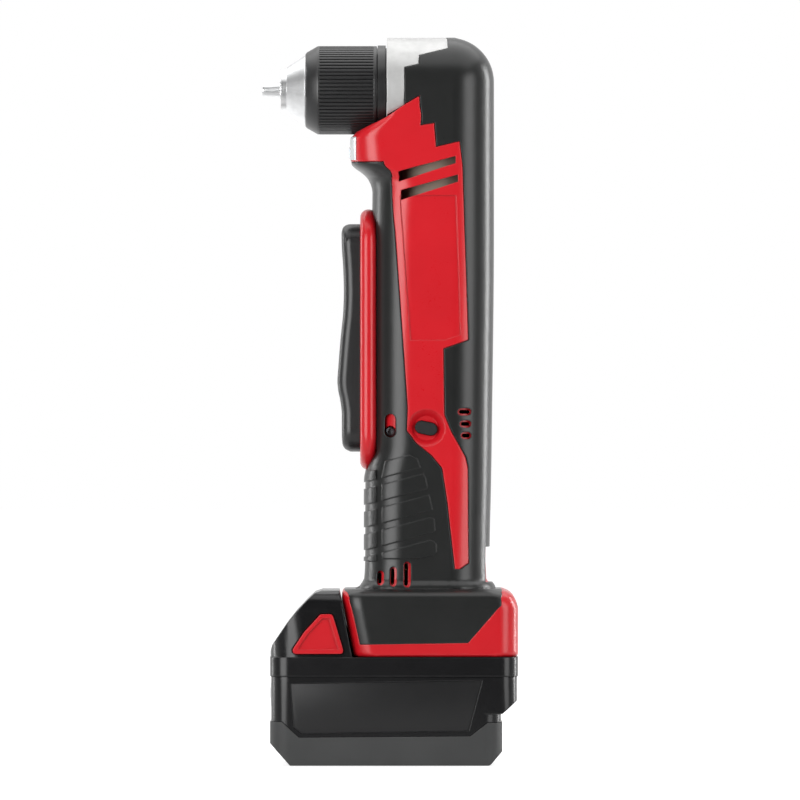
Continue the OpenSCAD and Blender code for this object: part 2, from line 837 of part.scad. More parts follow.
bezel_lip_share = 0.6;
pin_set = 4.4;
pin_x = bezel_x + pin_set;
pin_r = 1.48;

module paddle_pin() {
    half_l = bezel_bore_half_w + bezel_wall;
    color(steel) cross_pin(pin_x, bezel_high, -half_l, half_l, pin_r);
}

// Side profile of the paddle: height share, and proud share of its greatest reach from the bezel's inside
paddle_low_play = 1.8;
paddle_high_play = 0.2;
paddle_set = 0.8;
paddle_low = bezel_low - paddle_half_w + paddle_low_play;
paddle_high = bezel_high + paddle_half_w - paddle_high_play;
paddle_back = bezel_x - paddle_set;
paddle_proud = 13.9;
paddle_shares = [[0, 0.56], [0.012, 0.74], [0.035, 0.83], [0.08, 0.85], [0.16, 0.85], [0.23, 0.91],
    [0.27, 0.975], [0.31, 1], [0.37, 0.97], [0.5, 0.89], [0.62, 0.8], [0.7, 0.78], [0.8, 0.8], [0.9, 0.85],
    [0.955, 0.86], [0.982, 0.82], [0.995, 0.72], [1, 0.6]];
paddle_edge_r = 4.6;
paddle_edge_share = 0.8;
paddle_back_r = 0.3;
paddle_least_w = 1.6;
paddle_skin = 2.4;
paddle_wall = 3.2;

function paddle_half_w_at(z, d) =
    let (low = paddle_low + paddle_half_w, high = paddle_high - paddle_half_w, r = paddle_half_w - d,
        out = max(low - z, z - high, 0))
    max(paddle_least_w, sqrt(max(0, r * r - out * out)));

function paddle_rings(d) = [for (s = paddle_shares)
    let (z = paddle_low + s[0] * (paddle_high - paddle_low), half_w = paddle_half_w_at(z, d))
    ring_points(z, paddle_back - paddle_proud * s[1] + d, paddle_back + 2 * d, half_w,
        max(paddle_least_w / 2, min(paddle_edge_r - d, half_w * paddle_edge_share)), paddle_back_r,
        d > 0 ? 1 : 3)];

ear_set = 1.1;
ear_t = 3;
ear_r = 4;
ear_root_share = 0.72;
boss_r = 3.6;
boss_in = 1.9;

module paddle() {
    ear_out = paddle_half_w - ear_set;
    boss_l = paddle_proud + boss_in;
    color(black) difference() {
        union() {
            difference() {
                loft(paddle_rings(0));
                intersection() {
                    loft(paddle_rings(paddle_skin));
                    slab(paddle_low + paddle_wall, bezel_high + 2 * paddle_wall);
                }
            }
            for (y = [-ear_out, ear_out - ear_t]) {
                cross_pin(pin_x, bezel_high, y, y + ear_t, ear_r);
                block(paddle_back - paddle_proud * ear_root_share, pin_x, y, y + ear_t, bezel_high - ear_r,
                    bezel_high + ear_r);
            }
            translate([plunger_tip, 0, plunger_z]) rotate([0, -90, 0]) cylinder(h = boss_l, r = boss_r);
        }
        cross_pin(pin_x, bezel_high, -reach_all, reach_all, pin_r + run_gap);
    }
}

tip_set = 3;
plunger_tip = bezel_x + tip_set;
switch_front = -17;
switch_back = 9;
switch_half_w = 10;
switch_lug = 1.6;
switch_rim = 5;
plunger_r = 3;
plunger_depth = 8;
plunger_room = 8;
plunger_dome_r = 7;

module switch_body() {
    lug = switch_lug;
    color(dark) difference() {
        union() {
            block(switch_front, switch_back, -switch_half_w, switch_half_w, switch_bottom, switch_top);
            block(switch_front + lug, switch_back - 2 * lug, -switch_half_w - lug, switch_half_w + lug,
                switch_bottom + switch_rim, switch_top - switch_rim);
            translate([switch_front - lug, 0, plunger_z]) rotate([0, 90, 0])
                cylinder(h = 2 * lug, r = plunger_r + lug);
        }
        translate([switch_front - 2 * lug, 0, plunger_z]) rotate([0, 90, 0])
            cylinder(h = plunger_depth + plunger_room + 2 * lug, r = plunger_r + run_gap);
    }
}

module switch_plunger() {
    dome_r = plunger_dome_r;
    color(grey) translate([plunger_tip + run_gap, 0, plunger_z]) rotate([0, 90, 0]) intersection() {
        cylinder(h = switch_front - plunger_tip + plunger_depth, r = plunger_r);
        union() {
            translate([0, 0, dome_r]) sphere(dome_r);
            translate([0, 0, dome_r / 2]) cylinder(h = reach_all, r = dome_r);
        }
    }
}

module direction_shuttle() {
    reach = handle_half_w * shuttle_reach_share;
    color(black) shuttle_bar(-reach, reach, 0);
}

module led_lens() {
    color(clear) lamp_shape(0);
}

led_board_t = 1.4;
led_chip = 2.6;

module led_board() {
    half_w = lamp_half_w + lamp_lip - slide_gap;
    half_h = lamp_space_half_h - slide_gap;
    x = -lamp_back + seam_gap;
    color(green) {
        block(x, x + led_board_t, -half_w, half_w, lamp_z - half_h, lamp_z + half_h);
        block(x + led_board_t, x + led_board_t + led_chip, -led_chip, led_chip, lamp_z - led_chip,
            lamp_z + led_chip);
    }
}

// Circuit board of the grip, on edge between the shells, with holes for the screw posts
board_t = 1.6;
board_front = 28.6;
board_neck_front = 23.6;
board_back = 19;
board_low_drop = 4;
board_neck_rise = 26;
board_shuttle_gap = 10;
board_tab_w = 8;
board_chip = [10, 3, 12];
board_chip_place = [-16, 38];
post_gap = 0.25;

module control_board() {
    half_t = board_t / 2;
    low = base_top - board_low_drop;
    chip_x = board_chip_place[0];
    chip_z = base_top + board_chip_place[1];
    color(green) difference() {
        union() {
            block(-board_front, board_back, -half_t, half_t, low, base_top + board_neck_rise);
            block(-board_neck_front, board_back, -half_t, half_t, low, shuttle_z - board_shuttle_gap);
            block(board_back - board_tab_w, board_back, -half_t, half_t, low,
                switch_bottom - rib_t - slide_gap);
            block(chip_x, chip_x + board_chip[0], -half_t - board_chip[1], half_t, chip_z,
                chip_z + board_chip[2]);
        }
        for (p = screw_places) {
            cross_pin(p[0], p[1], -reach_all, reach_all, screw_post_r + post_gap);
        }
    }
}

// Terminals of the tool

blade_pitch = 7;
blade_ys = [for (i = [-1.5 : 1.5]) i * blade_pitch];
blade_t = 0.9;
blade_rise = 4.2;
blade_over = 6;
terminal_flange = 3;
blade_bottom = base_bottom + blade_rise;

module terminal_block() {
    flange = terminal_flange;
    half_w = terminal_half_w;
    color(black) difference() {
        union() {
            block(terminal_x[0], terminal_x[1], -half_w, half_w, rail_top + rail_gap, base_floor + flange);
            block(terminal_x[0] - flange, terminal_x[1] + flange, -half_w - flange, half_w + flange,
                base_floor + fit_gap, base_floor + flange);
        }
        for (y = blade_ys) {
            blade(y, 0, 0, axis_z);
        }
    }
}

// One flat blade, set in by a gap all round
module blade(y, gap, z0, z1) {
    half_t = blade_t / 2 - gap;
    block(terminal_x[0] + terminal_flange + gap, terminal_x[1] - terminal_flange - gap, y - half_t,
        y + half_t, z0, z1);
}

module terminal_blades() {
    color(copper) for (y = blade_ys) {
        blade(y, fit_gap, blade_bottom, base_floor + blade_over);
    }
}

// Gear head

case_core_r = 19.7;
case_inset = 0.1;
case_shell_r = head_r - case_inset;
case_wall = 3.4;
chamber_r = 17;
bearing_lip = 2;
bearing_set = 0.6;
front_bearing_r = 14;
front_bearing_w = 9;
front_bearing_x = [-case_front + bearing_set, -case_front + bearing_set + front_bearing_w];
rear_bearing_r = 8;
rear_bearing_w = 5;
rear_bearing_x = [case_back - case_wall - rear_bearing_w, case_back - case_wall];
spindle_r = 6;
spindle_key_r = 5;
spindle_rear_r = 4;
pinion_bearing_r = 11;
pinion_bearing_set = 1.4;
pinion_bearing_z = [neck_bottom + pinion_bearing_set, carrier_top - bearing_set];

module gear_case() {
    color(silver) difference() {
        union() {
            axle(-case_front, case_back, case_core_r);
            intersection() {
                axle(-case_front, case_back, case_shell_r);
                across() handle_outline(case_shares);
            }
            post(neck_bottom, axis_z, ring_outer_r);
        }
        axle(-case_front - overrun, front_bearing_x[1], front_bearing_r + fit_gap);
        axle(front_bearing_x[1] - fit_gap, rear_bearing_x[0], chamber_r);
        axle(rear_bearing_x[0] - overrun, rear_bearing_x[1], rear_bearing_r + fit_gap);
        post(neck_bottom - overrun, pinion_bearing_z[1], pinion_bearing_r + fit_gap);
        post(neck_bottom, axis_z, pinion_bearing_r - bearing_lip);
    }
}

chuck_gap = 0.6;
thread_l = 13.6;
chuck_rear_x = -case_front - chuck_gap;
thread_end = chuck_rear_x - thread_l;
chuck_screw_r = 2.5;
chuck_screw_l = 11;
chuck_screw_room = 3;
gear_hub_gap = 0.1;
gear_hub_r = 9;
gear_back_t = 0.4;
gear_nut_gap = 4.2;
gear_hub_x = [front_bearing_x[1] + gear_hub_gap, -cone_inner * sin(pinion_cone)];

module spindle() {
    shoulder = gear_hub_x[1] + gear_nut_gap;
    screw_end = thread_end + chuck_screw_l + chuck_screw_room;
    color(steel) difference() {
        union() {
            axle(thread_end, front_bearing_x[1], spindle_r);
            axle(front_bearing_x[1], shoulder, spindle_key_r);
            axle(shoulder - overrun, rear_bearing_x[1], spindle_rear_r);
        }
        axle(thread_end - overrun, screw_end, chuck_screw_r);
        axle_cone(thread_end - fit_gap, thread_end + overrun, chuck_screw_r + overrun, chuck_screw_r);
    }
}

module bevel_gear() {
    hub_r = gear_hub_r;
    key_r = spindle_key_r;
    back_x = -cone_outer * sin(pinion_cone) - gear_back_t;
    color(steel) difference() {
        union() {
            translate([0, 0, axis_z]) rotate([0, -90, 0]) rotate([0, 0, 180 + 180 / bevel_teeth])
                bevel_teeth_solid(bevel_module, bevel_teeth, 90 - pinion_cone, cone_outer, cone_inner,
                    2 * backlash, gear_add_share, gear_ded_share);
            axle(gear_hub_x[0], back_x, hub_r);
        }
        axle(-case_front, case_front, key_r + fit_gap);
    }
}

gear_add_share = 0.6;
gear_ded_share = 1.2;
pinion_add_share = 0.9;
pinion_ded_share = 1;
collar_gap = 0.2;
collar_proud = 0.6;
socket_r = 3.4;
socket_depth = 4;
pinion_root_r = 3.6;

module bevel_pinion() {
    collar_top = carrier_top - collar_gap;
    color(steel) difference() {
        union() {
            translate([0, 0, axis_z]) rotate([180, 0, 0]) rotate([0, 0, 180])
                bevel_teeth_solid(bevel_module, pinion_teeth, pinion_cone, cone_outer, cone_inner,
                    2 * backlash, pinion_add_share, pinion_ded_share);
            post(pinion_bearing_z[0] - collar_gap, collar_top, pinion_shaft_r - fit_gap);
            post(pinion_bearing_z[1] + fit_gap, collar_top, pinion_shaft_r + collar_proud);
            post(pinion_bearing_z[1], carrier_top + 2 * collar_proud, pinion_root_r);
        }
        post(carrier_plate_z[0], pinion_bearing_z[0] + socket_depth, socket_r + fit_gap);
    }
}

module spindle_bearing_front() {
    color(steel) translate([front_bearing_x[0], 0, axis_z]) rotate([0, 90, 0])
        bearing(spindle_r + fit_gap, front_bearing_r, front_bearing_w - fit_gap);
}

module spindle_bearing_rear() {
    color(steel) translate([rear_bearing_x[0], 0, axis_z]) rotate([0, 90, 0])
        bearing(spindle_rear_r + fit_gap, rear_bearing_r, rear_bearing_w);
}

module pinion_bearing() {
    color(steel) translate([0, 0, pinion_bearing_z[0]])
        bearing(pinion_shaft_r, pinion_bearing_r, pinion_bearing_z[1] - pinion_bearing_z[0]);
}

ring_lip = 1.2;
planet_gap = 0.2;
planet_h = 7.6;
carrier_gap = 0.3;
carrier_t = 3.6;
carrier_r = 14.6;
sun_room = 1.4;
planet_z = [ring_bottom + ring_lip + planet_gap, ring_bottom + ring_lip + planet_gap + planet_h];
carrier_plate_z = [planet_z[1] + carrier_gap, planet_z[1] + carrier_gap + carrier_t];
planet_pin_r = 2;

module planet_carrier() {
    plate_r = carrier_r;
    color(steel) {
        difference() {
            union() {
                post(carrier_plate_z[0], carrier_plate_z[1], plate_r);
                post(carrier_plate_z[1], pinion_bearing_z[0] + socket_depth - planet_gap,
                    socket_r - fit_gap);
            }
            post(carrier_plate_z[0] - overrun, carrier_plate_z[0] + sun_room, sun_clear_r);
        }
        for (k = [0 : 2]) {
            rotate([0, 0, 120 * k]) translate([planet_orbit, 0, 0])
                post(planet_z[0], carrier_plate_z[0] + fit_gap, planet_pin_r);
        }
    }
}

sun_clear_share = 1.4;
sun_clear_r = planet_module * (sun_teeth / 2 + sun_clear_share);
planet_add_share = 0.85;
planet_ded_share = 1.15;

module planet(k) {
    beta = 120 * k;
    phase = beta * (1 + sun_teeth / planet_teeth) + 180 - 180 / planet_teeth;
    color(steel) rotate([0, 0, beta]) translate([planet_orbit, 0, planet_z[0]]) rotate([0, 0, phase - beta])
        difference() {
            linear_extrude(planet_h)
                gear_outline(planet_module, planet_teeth, planet_add_share, planet_ded_share, backlash);
            translate([0, 0, -overrun]) cylinder(h = planet_h + 2 * overrun, r = planet_pin_r + run_gap);
        }
}

module planet_1() {
    planet(0);
}

module planet_2() {
    planet(1);
}

module planet_3() {
    planet(2);
}

// Ring gear with a floor over the fan and a skirt down to the motor, with windows for the air
skirt_t = 1.6;
window_w = 18;
window_share = 0.7;
ring_add_share = 1.2;
ring_ded_share = 0.8;

module ring_gear() {
    lip = ring_lip;
    skirt_r = ring_outer_r - skirt_t;
    window_z = (motor_top + ring_floor) / 2;
    window_h = (ring_floor - motor_top) * window_share;
    color(grey) difference() {
        post(motor_top + fit_gap, neck_bottom - fit_gap, ring_outer_r);
        translate([0, 0, ring_bottom + lip]) rotate([0, 0, 180 / ring_teeth]) linear_extrude(ring_gear_h)
            gear_outline(planet_module, ring_teeth, ring_add_share, ring_ded_share, -backlash);
        post(motor_top - overrun, ring_floor, skirt_r);
        post(ring_floor - overrun, ring_bottom + 2 * lip, sun_clear_r);
        translate([0, 0, window_z]) cube([3 * ring_outer_r, window_w, window_h], center = true);
    }
}

// Motor

can_t = 1.6;
can_boss_r = 8;
can_boss_h = 3;
can_vent_r = 2.6;
can_vent_share = 0.66;
shaft_room_share = 1.5;
motor_bearing_r = 6.5;
motor_bearing_w = 4.6;
motor_bearing_in = 2.6;
cap_bearing_w = 3.6;
cap_bearing_set = 0.9;

module motor_can() {
    color(grey) difference() {
        union() {
            post(motor_bottom, motor_top, motor_r);
            post(motor_top - can_t, motor_top + can_boss_h, can_boss_r);
        }
        post(motor_bottom - overrun, motor_top - can_t, motor_r - can_t);
        post(motor_top - 2 * can_t, motor_top + can_boss_h - can_t / 2, motor_bearing_r + fit_gap);
        post(motor_top - can_t, motor_top + 2 * can_boss_h, shaft_r * shaft_room_share);
        for (k = [0 : 3]) {
            rotate([0, 0, 45 + 90 * k]) translate([motor_r * can_vent_share, 0, 0])
                post(motor_top - 2 * can_t, motor_top + overrun, can_vent_r);
        }
    }
}

magnet_t = 3;
magnet_set = 6;
magnet_arc = 130;
magnet_outer_r = motor_r - can_t - fit_gap;

module motor_magnets() {
    color(magnet) for (side = [0, 180]) {
        rotate([0, 0, side - magnet_arc / 2]) translate([0, 0, motor_bottom + magnet_set])
            rotate_extrude(angle = magnet_arc) translate([magnet_outer_r - magnet_t, 0])
                square([magnet_t, core_z[1] - motor_bottom - magnet_set / 2]);
    }
}

cap_wall = 2;
cap_plug_h = 3;
cap_floor = 3.2;
brush_w = 4.2;
brush_h = 6.2;
brush_rise = 9;
brush_end = 0.4;
brush_gap = 0.1;

module motor_end_cap() {
    plug_r = motor_r - can_t - run_gap;
    slot = [2 * (motor_r + overrun), brush_w + 2 * brush_gap, brush_h + 2 * brush_gap];
    color(dark) difference() {
        union() {
            post(cap_bottom, motor_bottom - fit_gap, motor_r);
            post(motor_bottom - cap_wall, motor_bottom + cap_plug_h, plug_r);
        }
        post(cap_bottom + cap_floor, motor_bottom + 2 * cap_plug_h, plug_r - cap_wall);
        post(cap_bottom + cap_bearing_set - run_gap, cap_bottom + 2 * cap_floor, motor_bearing_r + fit_gap);
        translate([0, 0, cap_bottom + brush_rise]) cube(slot, center = true);
    }
}

commutator_r = 6;

module motor_brushes() {
    brush_l = motor_r - brush_end - commutator_r - run_gap;
    color(magnet) for (side = [0, 180]) {
        rotate([0, 0, side]) translate([commutator_r + run_gap, -brush_w / 2,
            cap_bottom + brush_rise - brush_h / 2])
            cube([brush_l, brush_w, brush_h]);
    }
}

tip_share = 0.72;

module rotor_shaft() {
    color(steel) {
        post(cap_bottom + cap_bearing_set, ring_bottom + planet_gap, shaft_r);
        post(ring_bottom, planet_z[1], shaft_r * tip_share);
    }
}

core_low_gap = 13;
core_high_gap = 14;
core_air = 0.6;
core_slots = 12;
core_slot_w = 2.2;
core_slot_d = 5;
core_z = [motor_bottom + core_low_gap, motor_top - core_high_gap];
core_r = magnet_outer_r - magnet_t - core_air;

module rotor_core() {
    color(steel) difference() {
        post(core_z[0], core_z[1], core_r);
        post(core_z[0] - overrun, core_z[1] + overrun, shaft_r + fit_gap);
        for (k = [0 : core_slots - 1]) {
            rotate([0, 0, 360 * k / core_slots])
                block(core_r - core_slot_d, core_r + overrun, -core_slot_w / 2, core_slot_w / 2,
                    core_z[0] - overrun, core_z[1] + overrun);
        }
    }
}

coil_r = 2.9;
coil_set = 1.4;

module rotor_windings() {
    coil_mid = core_r - coil_set - coil_r;
    color(copper) for (z = [core_z[0] - coil_r - fit_gap, core_z[1] + coil_r + fit_gap]) {
        translate([0, 0, z]) rotate_extrude() translate([coil_mid, 0]) circle(coil_r);
    }
}

commutator_bars = 12;
commutator_rise = 5;
commutator_gap = 0.6;
bar_slot_w = 0.5;
bar_slot_d = 0.6;

module commutator() {
    top = core_z[0] - 2 * coil_r - commutator_gap;
    color(copper) difference() {
        post(cap_bottom + commutator_rise, top, commutator_r);
        post(cap_bottom, core_z[0], shaft_r + fit_gap);
        for (k = [0 : commutator_bars - 1]) {
            rotate([0, 0, 360 * k / commutator_bars])
                block(commutator_r - bar_slot_d, commutator_r + overrun, -bar_slot_w / 2, bar_slot_w / 2,
                    cap_bottom, core_z[0]);
        }
    }
}

fan_r = 16.4;
fan_gap = 1;
fan_disc_t = 1.4;
fan_blades = 9;
fan_blade_t = 1.2;
fan_eye_r = 6.8;
fan_hub_share = 2;

module motor_fan() {
    fan_bottom = motor_top + can_boss_h + fan_gap;
    color(dark) difference() {
        union() {
            post(fan_top - fan_disc_t, fan_top, fan_r);
            post(fan_bottom, fan_top, shaft_r * fan_hub_share);
            for (k = [0 : fan_blades - 1]) {
                rotate([0, 0, 360 * k / fan_blades])
                    block(fan_eye_r, fan_r - fan_play, -fan_blade_t / 2, fan_blade_t / 2, fan_bottom,
                        fan_top - fan_disc_t / 2);
            }
        }
        post(fan_bottom - overrun, fan_top + overrun, shaft_r + fit_gap);
    }
}

module sun_gear() {
    low = ring_bottom + 2 * planet_gap;
    color(steel) difference() {
        translate([0, 0, low]) linear_extrude(planet_z[1] - low)
            gear_outline(planet_module, sun_teeth, planet_add_share, planet_ded_share, backlash);
        post(ring_bottom, axis_z, shaft_r * tip_share + fit_gap);
    }
}

module motor_bearing_front() {
    color(steel) translate([0, 0, motor_top - motor_bearing_in])
        bearing(shaft_r + fit_gap, motor_bearing_r, motor_bearing_w);
}

module motor_bearing_rear() {
    color(steel) translate([0, 0, cap_bottom + cap_bearing_set])
        bearing(shaft_r + fit_gap, motor_bearing_r, cap_bearing_w);
}

// Chuck

jaw_offset = -0.3;
waist_set = 2.7;
waist_l = 7.4;
waist_x = [-sleeve_front + waist_set, -sleeve_front + waist_set + waist_l];
waist_r = 9.8;
body_r = 17.4;
body_hub_r = 12.4;
body_ring_r = 10.2;
body_cone_r = 16.5;
body_lip_l = 2.8;
body_step = 0.8;
body_gap = 0.4;
bore_flare = 2;
bore_flare_l = 1.5;
jaw_travel = 16.5;
jaw_room = 4;

// Frame of a jaw: the origin at its tip, local +Z back along the jaw
module jaw_frame(k) {
    translate([-jaw_tip_reach, 0, axis_z]) rotate([120 * k, 0, 0]) translate([0, 0, jaw_offset])
        rotate([0, 90 - jaw_angle, 0]) children();
}

module chuck_body() {
    lip_x = -nose_front + body_lip_l;
    nut_x = -sleeve_front - body_gap;
    back_x = -ring_front - body_gap / 2;
    color(steel) difference() {
        union() {
            axle(-nose_front, lip_x, body_ring_r);
            axle_cone(lip_x, nut_x, body_ring_r + body_step, body_cone_r);
            axle(nut_x, waist_x[0], body_cone_r);
            axle(waist_x[0], waist_x[1], waist_r);
            axle(waist_x[1], back_x, body_r);
            axle(back_x, chuck_rear_x, body_hub_r);
        }
        axle(-nose_front - overrun, thread_end, bit_bore_r);
        axle(thread_end - overrun, chuck_rear_x + overrun, spindle_r + fit_gap);
        axle_cone(-nose_front - fit_gap, -nose_front + bore_flare_l, bit_bore_r + bore_flare, bit_bore_r);
        for (k = [0 : 2]) {
            jaw_frame(k) translate([0, 0, -jaw_room])
                cylinder(h = jaw_length + jaw_travel + jaw_room + chuck_gap, r = jaw_r + run_gap);
        }
    }
}

nut_gap = 0.2;
nut_split = 0.4;

module chuck_nut() {
    tan_a = tan(jaw_angle);
    inner = jaw_offset + jaw_r / cos(jaw_angle) + nut_gap - jaw_tip_reach * -tan_a;
    x0 = waist_x[0] + nut_gap;
    x1 = waist_x[1] - nut_gap;
    color(steel) difference() {
        axle(x0, x1, body_r);
        axle_cone(x0 - fit_gap, x1 + fit_gap, inner + x0 * tan_a, inner + x1 * tan_a);
        block(x0 - overrun, x1 + overrun, -reach_all, reach_all, axis_z - nut_split / 2,
            axis_z + nut_split / 2);
    }
}

sleeve_lip_r = 16.9;
sleeve_front_r = 17.9;
sleeve_chamfer = 6;
sleeve_gap = 0.3;
sleeve_step = 0.2;
sleeve_bore_r = body_r + sleeve_gap;
rib_depth = 0.7;
rib_valley_share = 0.36;
rib_crest_share = 0.5;
rib_shares = [[0, 0], [rib_valley_share, 0], [rib_crest_share, 1],
    [1 + rib_valley_share - rib_crest_share, 1]];

module chuck_sleeve() {
    front = -sleeve_front + sleeve_chamfer;
    back_x = -ring_front - sleeve_gap;
    outline = [for (k = [0 : sleeve_ribs - 1], s = rib_shares)
        let (a = 360 * (k + s[0]) / sleeve_ribs, r = sleeve_r - rib_depth * (1 - s[1]))
        [r * cos(a), r * sin(a)]];
    color(black) difference() {
        intersection() {
            along_x(-sleeve_front, back_x) translate([0, axis_z]) polygon(outline);
            union() {
                axle_cone(-sleeve_front, front, sleeve_front_r, sleeve_r);
                axle(front - fit_gap, -ring_front, sleeve_r + overrun);
            }
        }
        axle(-sleeve_front - overrun, -ring_front, sleeve_lip_r);
        axle(waist_x[0] + nut_gap / 2, -ring_front, sleeve_bore_r - sleeve_step);
        axle(waist_x[1] - nut_gap, -ring_front, sleeve_bore_r);
    }
}

module chuck_rear_ring() {
    color(black) difference() {
        axle(-ring_front, chuck_rear_x, sleeve_r + rear_ring_proud);
        axle(-ring_front - overrun, chuck_rear_x + overrun, body_hub_r + fit_gap);
    }
}

chuck_screw_head_r = 4.2;
chuck_screw_head_h = 3;
chuck_drive_r = 2;
chuck_drive_depth = 1.6;

module chuck_screw() {
    head_x = thread_end - chuck_screw_head_h;
    color(steel) difference() {
        union() {
            axle(head_x, thread_end - fit_gap, chuck_screw_head_r);
            axle(thread_end - overrun, thread_end + chuck_screw_l, chuck_screw_r - fit_gap);
        }
        axle(head_x - overrun, head_x + chuck_drive_depth, chuck_drive_r);
    }
}

jaw_tip_r = 2.85;
jaw_root_r = 3.3;
wedge = [[0, 0], [sin(60), cos(60)], [-sin(60), cos(60)]];

module jaw(k) {
    root_x = -nose_front - body_gap;
    color(steel) intersection() {
        jaw_frame(k) cylinder(h = jaw_length, r = jaw_r);
        translate([-reach_all, 0, axis_z]) rotate([120 * k, 0, 0]) translate([0, 0, run_gap])
            rotate([90, 0, 90]) linear_extrude(2 * reach_all) polygon(reach_all * wedge);
        union() {
            axle_cone(-jaw_tip_reach, root_x, jaw_tip_r, jaw_root_r);
            block(root_x, reach_all, -reach_all, reach_all, 0, 2 * reach_all);
        }
    }
}

module jaw_1() {
    jaw(0);
}

module jaw_2() {
    jaw(1);
}

module jaw_3() {
    jaw(2);
}

// Battery pack

deck_gap = 0.4;
latch_gap = 0.5;
deck_top = base_bottom - deck_gap;
pack_corner_r = 9;
latch_corner_share = 1.6;
latch_inset = 2;
latch_half_w = pack_half_w - latch_inset;
latch_round = 9;
latch_shares = [[0, 1], [0.002, 1.28], [0.008, 1.345], [0.043, 1.49], [0.07, 1.6], [0.107, 1.73],
    [0.151, 1.86], [0.18, 1.935], [0.21, 1.965]];
low_back_share = 0.936;
round_share = 0.6;
foot_t = 2.4;
floor_t = 3;

module side_points(shares) {
    polygon([for (s = shares) [px(s[0]), pz(s[1])]]);
}

// Front face of the base, leaned, with the gap to the pack
function seam_x(z) = -base_front + base_lean * (1 - (z - base_bottom) / base_h) - latch_gap;

module latch_block(d) {
    latch_top = pz(latch_shares[len(latch_shares) - 1][1]);
    intersection() {
        between(-reach_all, reach_all) polygon(concat([for (s = latch_shares) [px(s[0]) + d, pz(s[1]) - d]],
            [[seam_x(latch_top) - d, latch_top - d], [seam_x(pack_seam) - d, pack_seam]]));
        translate([0, 0, pack_seam]) linear_extrude(reach_all)
            plan_rect(-pack_front + d, base_back, latch_half_w - d, pack_corner_r * latch_corner_share);
        along_x(-reach_all, reach_all) polygon(concat(
            [for (i = [0 : plan_steps]) let (a = 90 * i / plan_steps)
                [latch_half_w - d - latch_round * (1 - cos(a)),
                    latch_top - d - latch_round * (1 - sin(a))]],
            [for (i = [plan_steps : -1 : 0]) let (a = 90 * i / plan_steps)
                [-latch_half_w + d + latch_round * (1 - cos(a)),
                    latch_top - d - latch_round * (1 - sin(a))]],
            [[-latch_half_w + d, 0], [latch_half_w - d, 0]]));
    }
}

button_shares = [[0.204, 1.7], [0.252, 1.7], [0.3, 1.255], [0.08, 1.255], [0.138, 1.5]];
button_round = 1.6;
button_t = 9.4;
button_travel = 3;
button_rim = 2;
button_dish = 0.9;
button_out = pack_half_w;
button_in = button_out - button_t;

module button_outline(grow) {
    offset(r = button_round + grow, $fn = 24) offset(delta = -button_round) side_points(button_shares);
}

// Extrudes a side outline between two distances from the middle plane, on one side
module side_band(side, near, far) {
    between(side < 0 ? -far : near, side < 0 ? -near : far) children();
}

module rail_bar() {
    front = -base_front;
    back = channel_back - rail_end_gap;
    block(front, back, -rail_neck_half_w, rail_neck_half_w, deck_top - overrun, rail_top);
    block(front, back, -rail_half_w, rail_half_w, rail_lip_z, rail_top);
}

rail_end_gap = 2;
pack_screw_set = 4.3;
screw_xs = [-pack_front + pack_screw_set, base_back - pack_screw_set];
pack_screw_in = 11.4;
screw_y = pack_half_w - pack_screw_in;
screw_cover = 2;
top_wall = 5;
top_front_wall = 7.4;
top_back_wall = 9.6;
deck_t = 2.4;
rail_wall = 3;
rail_front_wall = 8;
contact_slot_w = 2.4;
contact_slot_depth = 5;

module battery_top() {
    slot_w = contact_slot_w;
    inner_w = pack_half_w - top_wall;
    neck_w = rail_neck_half_w - rail_wall;
    color(black) difference() {
        union() {
            translate([0, 0, pack_seam]) linear_extrude(deck_top - pack_seam)
                plan_rect(-pack_front, base_back, pack_half_w, pack_corner_r);
            latch_block(0);
            rail_bar();
        }
        block(-pack_front + top_front_wall, base_back - top_back_wall, -inner_w, inner_w, 0,
            deck_top - deck_t);
        block(-base_front + rail_front_wall, channel_back - contact_slot_depth, -neck_w, neck_w, 0,
            rail_top - rail_wall);
        for (y = blade_ys) {
            block(terminal_x[0] - overrun, channel_back, y - slot_w / 2, y + slot_w / 2,
                rail_lip_z - contact_slot_depth, axis_z);
        }
        for (side = [-1, 1]) {
            side_band(side, button_in - button_travel, reach_all) button_outline(slide_gap);
            for (x = screw_xs) {
                translate([x, side * screw_y, 0]) post(0, deck_top - screw_cover, screw_r + fit_gap);
            }
        }
    }
}

foot_shares = [[-0.1, 0.49], [0.048, 0.49], [0.117, 0.315], [0.807, 0.33], [0.876, 0.48], [1, 0.48],
    [1, -0.2], [-0.1, -0.2]];
upper_shares = [[0, 1], [1, 1], [1, 0.74], [0.949, 0.61], [0.936, 0.58], [0, 0.58]];
lower_shares = [[0, 0.62], [0.936, 0.62], [0.936, 0.157], [0.89, 0.012], [0.883, 0], [0.081, 0], [0, 0.25]];
label_shares = [[0.085, 0.918], [0.854, 0.955], [0.8, 0.39], [0.13, 0.36], [0.098, 0.43]];

module pack_low(d, floor_d) {
    intersection() {
        between(-reach_all, reach_all) offset(delta = -d) side_points(lower_shares);
        translate([0, 0, floor_d]) linear_extrude(reach_all)
            plan_rect(-pack_front + d, px(low_back_share) - d, pack_half_w - d,
                pack_corner_r - d * round_share);
    }
}

module pack_high(d) {
    intersection() {
        between(-reach_all, reach_all) side_points(upper_shares);
        linear_extrude(pack_seam)
            plan_rect(-pack_front + d, base_back - d, pack_half_w - d, pack_corner_r - d * round_share);
    }
}

// Zone of the rubber foot, seen from the side
module foot_zone() {
    between(-reach_all, reach_all) side_points(foot_shares);
}

// Hollow of the pack, inside its shell
module pack_hollow(d) {
    pack_low(d, floor_t + shell_t);
    block(-pack_front + d, px(low_back_share) - d, -pack_half_w + d, pack_half_w - d, pack_seam / 2,
        axis_z);
}

shell_t = 2.2;

label_recess = 0.8;
pack_inset = 0.5;

